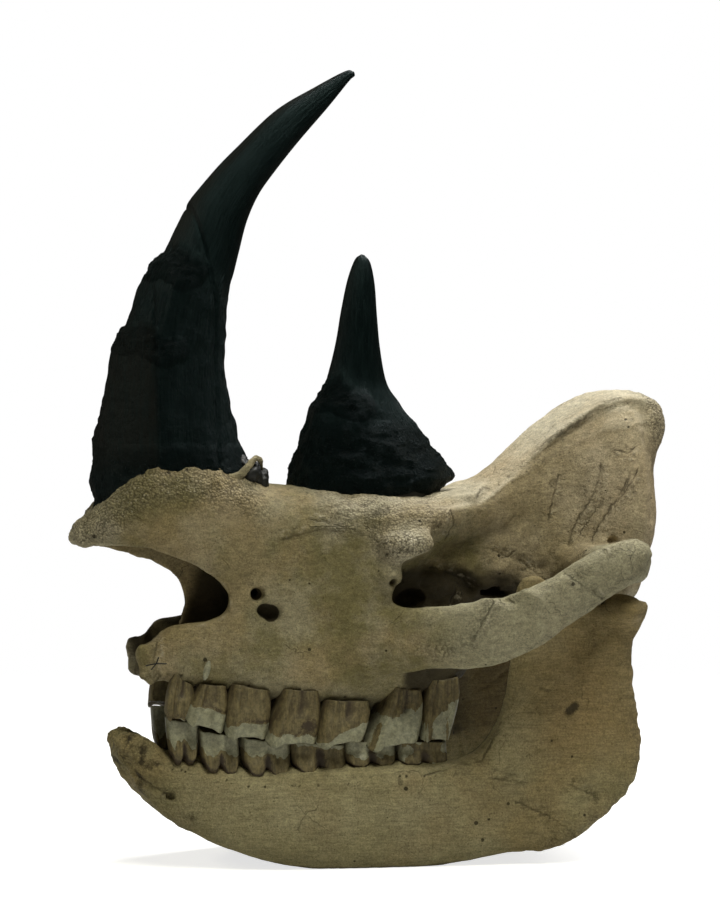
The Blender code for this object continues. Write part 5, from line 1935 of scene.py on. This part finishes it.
            # Darker in the groove between the lobes and at the root end in the jaw: painted shade.
            deep = groove * smoothstep(0.55 - 0.5 * tooth.split, 0.9 - 0.5 * tooth.split, v) * wall
            end = smoothstep(0.90, 1.02, v)
            mark.append(np.maximum(0.9 * deep, 0.75 * end) + 0.10 * streaks)
            relief.append(0.30 * streaks - 0.9 * deep - 0.5 * corner)
        self.close(rings, enamel, mark, relief, -0.0014, 0.2, seed)

    def build(self, finish: bpy.types.Material, slot: str) -> bpy.types.Object:
        """Joins the row's teeth into one placed piece."""
        obj = Shell.joined(self.shells).as_object(self.name)
        paint(obj, "enamel", np.concatenate(self.enamel))
        paint(obj, "mark", np.concatenate(self.mark))
        paint(obj, "relief", np.concatenate(self.relief))
        return placed(obj, finish)


@dataclass(frozen=True)
class HornPlan:
    """What a horn is made from and where its surface is rough."""

    name: str
    node: str
    sections: Sequence[tuple[tuple[float, float], tuple[float, float], float]]
    sides: int
    rows: int
    rough_top: float
    base_top: float
    brown_edge: float
    ledges: float
    shoulders: tuple[tuple[float, float], ...]
    seams: tuple[tuple[tuple[float, float], ...], ...] = ()


@dataclass
class Horn:
    """A horn: a curved fibrous cone, rough and ledged below, smooth above."""

    plan: HornPlan
    finish: bpy.types.Material

    def build(self) -> bpy.types.Object:
        """Makes the horn and lets it stand for its solid."""
        plan = self.plan
        rows = [(*front, *back, wide) for front, back, wide in plan.sections]
        fine = smooth_through(rows, plan.rows)
        angles = np.arange(plan.sides) * 2 * math.pi / plan.sides
        power = 2 / 2.25
        ahead = np.sign(np.cos(angles)) * abs(np.cos(angles)) ** power
        aside = np.sign(np.sin(angles)) * abs(np.sin(angles)) ** power
        rings, turn, rise, width = [], [], [], []
        for front_x, front_z, back_x, back_z, wide in fine:
            centre = np.array([(front_x + back_x) / 2, 0, (front_z + back_z) / 2])
            reach = np.array([(front_x - back_x) / 2, 0, (front_z - back_z) / 2])
            side = np.array([0, wide, 0])
            rings.append(centre + np.outer(ahead, reach) + np.outer(aside, side))
            turn.append(angles)
            rise.append(np.full(plan.sides, centre[2]))
            width.append(np.cos(angles) * np.linalg.norm(reach) + np.sign(np.sin(angles)) * 0.5)
        obj = Shell.of_rings(rings).as_object(plan.name)
        points, facing = coordinates(obj), normals(obj)
        angle, level = np.concatenate(turn), np.concatenate(rise)
        heights, fray = self.relief(points, angle, level)
        move_points(obj, points + facing * heights[:, None])
        paint(obj, "fray", fray)
        face = smoothstep(plan.brown_edge + 0.003, plan.brown_edge - 0.003, points[:, 0])
        face = face * smoothstep(0.515, 0.490, points[:, 2]) * smoothstep(0.36, 0.38, points[:, 2])
        glint = smoothstep(0.6, 0.95, np.cos(angle)) * smoothstep(0.56, 0.60, points[:, 2]) * 0.8
        paint(obj, "tone", np.maximum(face, glint))
        self.lay_grain(obj, np.concatenate(width), level)
        placed(obj, self.finish)
        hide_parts(plan.node)
        return obj

    def relief(self, points: Points, angle: Points, level: Points) -> tuple[Points, Points]:
        """Heights and how frayed the surface is.

        Args:
            points: the horn's points.
            angle: the turn of each point round the horn.
            level: the height of each point's section.

        Returns:
            Heights in metres and fray from 0 to 1.
        """
        plan = self.plan
        x, y, z = points.T
        round_it = np.column_stack([np.cos(angle) * 0.05, np.sin(angle) * 0.05, level * 0.08])
        fibres = noise(round_it, 0.0045, 71, 4)
        strands = noise(round_it * (1, 1, 2.0), 0.0014, 73, 2)
        lower = smoothstep(plan.rough_top, plan.rough_top - 0.05, z)
        heights = (0.00008 + 0.00040 * lower) * fibres + 0.00020 * lower * strands
        heights += 0.0013 * lower * noise(points, 0.026, 75, 3)
        heights += 0.0022 * lower * noise(points, 0.018, 76, 2) * smoothstep(0.55, 0.9, abs(np.cos(angle)))
        fray = 0.30 * lower
        forward = np.cos(angle)
        for shoulder, drop in plan.shoulders:
            line = shoulder + 0.007 * noise(round_it, 0.020, 77, 3) + 0.014 * (forward - 0.5)
            front = smoothstep(-0.30, 0.25, forward)
            ledge = smoothstep(line + 0.0025, line - 0.0025, z) * smoothstep(line - 0.055, line - 0.010, z)
            heights += front * drop * ledge
            band = np.exp(-(((z - line + 0.008) / 0.013) ** 2)) * front
            crumbs = noise(points * (1, 1, 1.6), 0.008, 79, 3)
            heights += band * 0.0019 * crumbs
            fray = np.maximum(fray, np.clip(band * 1.2, 0, 1))
        for seam in plan.seams:
            shift = np.interp(z, [level for level, _ in seam], [place for _, place in seam])
            within = smoothstep(seam[0][0] - 0.01, seam[0][0], z) * smoothstep(seam[-1][0], seam[-1][0] - 0.02, z)
            apart = x - shift
            heights -= within * 0.0016 * np.exp(-((apart / 0.0016) ** 2))
            heights += within * 0.0008 * smoothstep(0.0, 0.004, apart) * smoothstep(0.030, 0.010, apart)
        rings = np.sin(z * 2 * math.pi / 0.0062 + 2.5 * fibres)
        where = smoothstep(0.445, 0.425, z) * smoothstep(0.378, 0.388, z) * smoothstep(0.35, 0.75, forward)
        heights += plan.ledges * rings * where
        base = smoothstep(plan.base_top, plan.base_top - 0.040, z)
        near = pebbles(points, 0.0085, 81)
        swirl = noise(points * (1.0, 1.0, 2.2), 0.022, 83, 4)
        heights += base * (0.0026 * swirl + 0.0010 * (0.5 - near))
        fray = np.maximum(fray, base * 0.9)
        return heights, np.clip(fray, 0, 1)

    def lay_grain(self, obj: bpy.types.Object, span: Points, level: Points) -> None:
        """Lays coordinates along the fibres, in metres: one across the horn, one up it."""
        layer = obj.data.uv_layers.new(name="grain")
        corners = np.empty(len(obj.data.loops), dtype=np.int32)
        obj.data.loops.foreach_get("vertex_index", corners)
        flat = np.column_stack([span[corners], level[corners]])
        layer.data.foreach_set("uv", flat.ravel())


PAINTED = ("tone", "relief", "rugose", "warm", "grey", "open", "fray")


@dataclass
class Scatter:
    """Small forms strewn over a painted zone of a surface by Geometry Nodes."""

    name: str
    zone: str
    seed: int
    spacing: float = 0.0030
    density: float = 40000.0
    size: tuple[float, float] = (0.0005, 0.0013)
    stretch: tuple[float, float, float] = (1.0, 1.0, 0.45)
    least: float = 0.55

    def tree(self, finish: bpy.types.Material) -> bpy.types.NodeTree:
        """Builds the node tree with its named inputs.

        Args:
            finish: material of the strewn forms.

        Returns:
            The geometry node tree.
        """
        tree = bpy.data.node_groups.new(self.name, "GeometryNodeTree")
        tree.interface.new_socket("Surface", in_out="INPUT", socket_type="NodeSocketGeometry")
        for label, default in (("Spacing", self.spacing), ("Density", self.density)):
            socket = tree.interface.new_socket(label, in_out="INPUT", socket_type="NodeSocketFloat")
            socket.default_value = default
        seed = tree.interface.new_socket("Seed", in_out="INPUT", socket_type="NodeSocketInt")
        seed.default_value = self.seed
        tree.interface.new_socket("Forms", in_out="OUTPUT", socket_type="NodeSocketGeometry")
        nodes = Nodes(tree)
        given, result = nodes.add("NodeGroupInput"), nodes.add("NodeGroupOutput")
        zone = nodes.add("GeometryNodeInputNamedAttribute", data_type="FLOAT")
        zone.inputs["Name"].default_value = self.zone
        spread = nodes.add("GeometryNodeDistributePointsOnFaces", distribute_method="POISSON")
        nodes.feed(spread.inputs["Mesh"], given.outputs["Surface"])
        nodes.feed(spread.inputs["Distance Min"], given.outputs["Spacing"])
        nodes.feed(spread.inputs["Density Max"], given.outputs["Density"])
        nodes.feed(spread.inputs["Seed"], given.outputs["Seed"])
        sharp = nodes.add("ShaderNodeMapRange")
        nodes.feed(sharp.inputs[0], zone.outputs[0])
        sharp.inputs[1].default_value = self.least
        sharp.inputs[2].default_value = 1.0
        nodes.feed(spread.inputs["Density Factor"], sharp.outputs[0])
        ball = nodes.add("GeometryNodeMeshIcoSphere")
        ball.inputs["Radius"].default_value = 1.0
        ball.inputs["Subdivisions"].default_value = 2
        size = nodes.add("FunctionNodeRandomValue", data_type="FLOAT")
        low, high = [socket for socket in size.inputs if socket.identifier in ("Min_001", "Max_001")]
        low.default_value, high.default_value = self.size
        nodes.feed([s for s in size.inputs if s.identifier == "Seed"][0], given.outputs["Seed"])
        scale = nodes.add("ShaderNodeVectorMath", operation="SCALE")
        scale.inputs[0].default_value = self.stretch
        nodes.feed(scale.inputs["Scale"], [s for s in size.outputs if s.identifier == "Value_001"][0])
        strewn = nodes.add("GeometryNodeInstanceOnPoints")
        nodes.feed(strewn.inputs["Points"], spread.outputs["Points"])
        nodes.feed(strewn.inputs["Instance"], ball.outputs["Mesh"])
        nodes.feed(strewn.inputs["Rotation"], spread.outputs["Rotation"])
        nodes.feed(strewn.inputs["Scale"], scale.outputs[0])
        real = nodes.add("GeometryNodeRealizeInstances")
        nodes.feed(real.inputs[0], strewn.outputs[0])
        clad = nodes.add("GeometryNodeSetMaterial")
        nodes.feed(clad.inputs["Geometry"], real.outputs[0])
        clad.inputs["Material"].default_value = finish
        nodes.feed(result.inputs[0], clad.outputs[0])
        return tree

    def build(self, surface: bpy.types.Object, finish: bpy.types.Material, slot: str, tone: float) -> bpy.types.Object:
        """Strews the forms over a placed surface as one plain mesh piece."""
        source = new_object(self.name, surface.data.copy())
        change = source.modifiers.new("strew", "NODES")
        change.node_group = self.tree(finish)
        applied(source)
        count = len(source.data.vertices)
        for label in [layer.name for layer in source.data.attributes if layer.name in PAINTED]:
            source.data.attributes.remove(source.data.attributes[label])
        zones = {"tone": tone, "relief": 0.1, "open": 0.8, "fray": 0.8}
        for label in PAINTED:
            paint(source, label, np.full(count, zones.get(label, 0.0)))
        source.data.shade_smooth()
        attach(source, "root")
        LOG.info("%s: %d faces", source.name, len(source.data.polygons))
        return source


# Lumps of the pad, then path of the skin and levels of the wedge with their half sizes
PAD_LUMPS = [
    ((-0.1180, -0.026, 0.3640), (0.0130, 0.030, 0.0150)),
    ((-0.1060, -0.022, 0.3600), (0.0090, 0.026, 0.0120)),
    ((-0.1240, -0.020, 0.3740), (0.0080, 0.024, 0.0100)),
    ((-0.1110, -0.018, 0.3690), (0.0070, 0.022, 0.0090)),
]
DRIED_SKIN = [
    (-0.1460, -0.0500, 0.3600, 0.0018, 0.0030),
    (-0.1400, -0.0540, 0.3625, 0.0030, 0.0026),
    (-0.1300, -0.0540, 0.3655, 0.0036, 0.0020),
    (-0.1215, -0.0520, 0.3740, 0.0034, 0.0020),
    (-0.1150, -0.0480, 0.3800, 0.0026, 0.0022),
    (-0.1085, -0.0400, 0.3780, 0.0020, 0.0024),
    (-0.1050, -0.0340, 0.3690, 0.0014, 0.0020),
]
WEDGE = [(0.318, 0.052, 0.046), (0.334, 0.057, 0.050), (0.350, 0.064, 0.052), (0.360, 0.066, 0.050)]


@dataclass
class SmallPieces:
    """The odd pieces on the skull: dried pad, nose wall, horn wedge, wire and a bared root."""

    bone: bpy.types.Material
    teeth: bpy.types.Material
    dark: bpy.types.Material
    black: bpy.types.Material

    def build(self) -> None:
        """Makes every small piece."""
        self.dried_pad()
        self.partition()
        self.wedge()
        self.wire()
        self.bared_root()

    def dried_pad(self) -> None:
        """A curl of dried skin behind the front horn's base, over a dark crumpled pad."""
        pad = fused(Shell.joined([ellipsoid(*lump, 28) for lump in PAD_LUMPS]).as_object("dried_pad"), 0.0014)
        points, facing = coordinates(pad), normals(pad)
        crumple = 0.0022 * noise(points * (1, 0.5, 1), 0.009, 91, 4) + 0.0008 * noise(points, 0.003, 92, 2)
        move_points(pad, points + facing * crumple[:, None])
        placed(pad, self.dark)
        strip = fused(sweep(DRIED_SKIN, 16, 8).as_object("dried_skin"), 0.0009)
        points, facing = coordinates(strip), normals(strip)
        move_points(strip, points + facing * (0.0009 * noise(points, 0.006, 93, 4))[:, None])
        zones = {"tone": 0.15, "relief": 0.0, "rugose": 0.2, "grey": 0.4, "warm": 0.0, "open": 1.0}
        for label, value in zones.items():
            paint(strip, label, np.full(len(strip.data.vertices), value))
        placed(strip, self.bone)

    def partition(self) -> None:
        """The bony wall inside the nose, seen past the near rim."""
        obj = fused(plate(PARTITION, 0.0045), 0.0022)
        obj.name = "nasal_partition"
        obj = rounded(obj, 2)
        points, facing = coordinates(obj), normals(obj)
        folds = noise(points * (1.0, 1.0, 0.35), 0.012, 95, 3)
        move_points(obj, points + facing * (0.0016 * folds)[:, None])
        x, _, z = points.T
        # Painted shade: darker deeper inside the nose.
        deep = smoothstep(-0.182, -0.150, x - 0.30 * (z - 0.26))
        values = {
            "tone": 0.10,
            "relief": 0.35 * np.clip(folds, -1, 0.5),
            "rugose": 0.0,
            "grey": 0.0,
            "warm": 0.4,
            "open": 0.80 - 0.75 * deep,
            "across": 0.0,
            "marked": 0.0,
        }
        for label, value in values.items():
            paint(obj, label, value + 0 * x)
        placed(obj, self.bone)

    def wedge(self) -> None:
        """The plain dark packing under the rear horn's back half."""
        sides, middle = 72, 0.016
        angles = np.arange(sides) * 2 * math.pi / sides
        rings = []
        for level, long, wide in WEDGE:
            x, y = middle + np.cos(angles) * long, np.sin(angles) * wide
            rings.append(np.column_stack([x, y, np.full(sides, level)]))
        placed(Shell.of_rings(rings).as_object("horn_packing"), self.dark)

    def wire(self) -> None:
        """Two twists of black wire that hold the broken premaxilla."""
        paths = [
            [(-0.2165, -0.0420, 0.1905), (-0.2075, -0.0465, 0.1925), (-0.1985, -0.0490, 0.1925)],
            [(-0.2055, -0.0470, 0.1985), (-0.2080, -0.0470, 0.1925), (-0.2120, -0.0445, 0.1870)],
        ]
        shells = [sweep([(*spot, 0.0006, 0.0006) for spot in path], 8, 4) for path in paths]
        placed(Shell.joined(shells).as_object("premaxilla_wire"), self.black)

    def bared_root(self) -> None:
        """The ivory oval where a root shows through the upper jaw."""
        root = ellipsoid((-0.1640, -0.0575, 0.1860), (0.0032, 0.0022, 0.0090), 28)
        lean = (root.points[:, 2] - 0.180) * 0.22
        root.points = root.points + np.column_stack([lean, 0 * lean, 0 * lean])
        obj = root.as_object("bared_root")
        for label, value in (("enamel", 0.75), ("mark", 0.0), ("relief", 0.0)):
            paint(obj, label, np.full(len(obj.data.vertices), value))
        placed(obj, self.teeth)


@dataclass(frozen=True)
class Lamp:
    """A soft square light aimed at the skull."""

    name: str
    place: tuple[float, float, float]
    size: float
    power: float
    colour: tuple[float, float, float]

    def build(self) -> None:
        """Hangs the light."""
        lamp = bpy.data.lights.new(self.name, "AREA")
        lamp.size = self.size
        lamp.energy = self.power
        lamp.color = self.colour
        obj = bpy.data.objects.new(self.name, lamp)
        bpy.context.scene.collection.objects.link(obj)
        obj.location = self.place
        aim = Vector((0, 0, AIM_HEIGHT)) - Vector(self.place)
        obj.rotation_euler = aim.to_track_quat("-Z", "Y").to_euler()


AIM_HEIGHT = 0.30
LAMPS = (
    Lamp("key", (-0.05, -1.15, 2.35), 0.9, 35.0, (1.0, 0.98, 0.84)),
    Lamp("back", (0.9, 0.4, 2.4), 0.9, 46.0, (1.0, 0.99, 0.97)),
    Lamp("rim", (-2.2, 0.9, 1.7), 0.5, 11.0, (1.0, 0.95, 0.80)),
    Lamp("fill", (-0.6, -2.9, 0.9), 1.6, 2.5, (1.0, 0.94, 0.74)),
)
CAMERA_PLACE = (-0.6064 - ORIGIN_X, -2.1148, 0.4325)
CAMERA_TURN = -16
FOCAL_LENGTH = 89.43
SENSOR_HEIGHT = 36
LENS_SHIFT = -0.0635
FLOOR_HALF = 6.0


@dataclass
class Studio:
    """Plain pale floor, soft light and the camera at the photo's angle."""

    lamps: tuple[Lamp, ...] = LAMPS

    def floor(self) -> None:
        """A plain pale floor that fades into the white surroundings away from the skull."""
        mesh = bpy.data.meshes.new("floor")
        corners = [(-1, -1), (1, -1), (1, 1), (-1, 1)]
        points = [(x * FLOOR_HALF, y * FLOOR_HALF, 0) for x, y in corners]
        mesh.from_pydata(points, [], [(0, 1, 2, 3)])
        floor = new_object("floor", mesh)
        made, nodes, shader = new_material("floor")
        shader.inputs["Base Color"].default_value = (0.80, 0.80, 0.79, 1)
        shader.inputs["Roughness"].default_value = 0.9
        shader.inputs["Specular IOR Level"].default_value = 0.1
        shader.inputs["Emission Color"].default_value = (1, 1, 1, 1)
        seen = nodes.add("ShaderNodeLightPath").outputs["Is Camera Ray"]
        nodes.feed(shader.inputs["Emission Strength"], nodes.times(seen, 0.72))
        length = nodes.add("ShaderNodeVectorMath", operation="LENGTH")
        nodes.feed(length.inputs[0], nodes.object_vector())
        nodes.feed(shader.inputs["Alpha"], nodes.step(length.outputs["Value"], 0.35, 1.6, 1.0, 0.0))
        floor.data.materials.append(made)

    def surroundings(self) -> None:
        """White to the camera, dim to everything else."""
        world = bpy.data.worlds.new("studio")
        bpy.context.scene.world = world
        world.use_nodes = True
        nodes = Nodes(world.node_tree)
        seen = world.node_tree.nodes["Background"]
        seen.inputs[0].default_value = (1, 1, 1, 1)
        seen.inputs[1].default_value = 1.0
        lit = nodes.add("ShaderNodeBackground")
        lit.inputs[0].default_value = (1.0, 0.95, 0.76, 1)
        lit.inputs[1].default_value = 0.05
        either = nodes.add("ShaderNodeMixShader")
        nodes.feed(either.inputs[0], nodes.add("ShaderNodeLightPath").outputs["Is Camera Ray"])
        nodes.feed(either.inputs[1], lit.outputs[0])
        nodes.feed(either.inputs[2], seen.outputs[0])
        nodes.feed(world.node_tree.nodes["World Output"].inputs[0], either.outputs[0])

    def camera(self) -> None:
        """The photo's viewing angle."""
        lens = bpy.data.cameras.new("camera")
        lens.sensor_fit = "VERTICAL"
        lens.sensor_width = lens.sensor_height = SENSOR_HEIGHT
        lens.lens = FOCAL_LENGTH
        lens.shift_y = LENS_SHIFT
        obj = bpy.data.objects.new("camera", lens)
        bpy.context.scene.collection.objects.link(obj)
        obj.location = CAMERA_PLACE
        obj.rotation_euler = (math.radians(90), 0, math.radians(CAMERA_TURN))
        bpy.context.scene.camera = obj

    def build(self) -> None:
        """Sets the stage."""
        self.floor()
        self.surroundings()
        for lamp in self.lamps:
            lamp.build()
        self.camera()
        bpy.context.scene.view_settings.view_transform = "Standard"


FRONT_PLAN = HornPlan(
    name="front_horn_shell",
    node="front_horn",
    sections=FRONT_HORN,
    sides=208,
    rows=15,
    rough_top=0.575,
    base_top=0.410,
    brown_edge=-0.2077,
    ledges=0.00060,
    shoulders=((0.5640, 0.0018), (0.4930, 0.0026)),
    seams=(
        ((0.365, -0.2077), (0.548, -0.2077)),
        ((0.365, -0.1495), (0.527, -0.1495), (0.582, -0.1618), (0.640, -0.1750)),
    ),
)
REAR_PLAN = HornPlan(
    name="rear_horn_shell",
    node="rear_horn",
    sections=REAR_HORN,
    sides=176,
    rows=15,
    rough_top=0.455,
    base_top=0.430,
    brown_edge=-1.0,
    ledges=0.0,
    shoulders=((0.4420, 0.0010),),
)


def main() -> None:
    """Builds every piece in order, then the studio."""
    effects = Effects()
    bone = BoneFinish(
        name="bone",
        light=(0.64, 0.58, 0.44),
        olive=(0.192, 0.165, 0.070),
        brown=(0.150, 0.112, 0.048),
        grey=(0.335, 0.312, 0.205),
        warm=(0.420, 0.310, 0.165),
        grain=(1.6, 1.0, 4.0),
    ).build(effects)
    jaw_bone = BoneFinish(
        name="jaw_bone",
        light=(0.42, 0.375, 0.220),
        olive=(0.235, 0.200, 0.090),
        brown=(0.145, 0.108, 0.045),
        grey=(0.270, 0.250, 0.155),
        warm=(0.265, 0.185, 0.078),
        grain=(0.8, 1.0, 7.0),
    ).build(effects)
    teeth = ToothFinish("teeth").build(effects)
    horn = HornFinish("horn").build(effects)
    dark = plain_material("dark_packing", (0.0045, 0.0055, 0.0052), 0.55)
    wire = plain_material("wire", (0.003, 0.003, 0.003), 0.4)

    cranium = Cranium("cranium_bone", bone, "bone").build()
    Mandible("mandible_bone", jaw_bone, "jaw_bone").build()
    for side, left in (("left", True), ("right", False)):
        upper = ToothRow(f"upper_teeth_{side}", left)
        lower = ToothRow(f"lower_teeth_{side}", left)
        for number, tooth in enumerate(UPPER_TEETH):
            upper.add_upper(tooth, 100 + number + 50 * left)
        for number, tooth in enumerate(LOWER_TEETH):
            lower.add_lower(tooth, 200 + 2 * number + 50 * left)
        upper.build(teeth, "bone")
        lower.build(teeth, "jaw_bone")
    front = Horn(FRONT_PLAN, horn).build()
    rear = Horn(REAR_PLAN, horn).build()
    nodules = Scatter(
        "bone_nodules",
        "rugose",
        SEED,
        spacing=0.0022,
        density=90000.0,
        size=(0.0006, 0.0012),
        stretch=(1.0, 1.0, 0.5),
        least=0.80,
    )
    nodules.build(cranium, bone, "bone", 0.45)
    Scatter("front_horn_crust", "fray", SEED + 1).build(front, horn, "horn", 0.0)
    Scatter("rear_horn_crust", "fray", SEED + 2).build(rear, horn, "horn", 0.0)
    SmallPieces(bone, teeth, dark, wire).build()
    Studio().build()


if __name__ == "__main__":
    main()
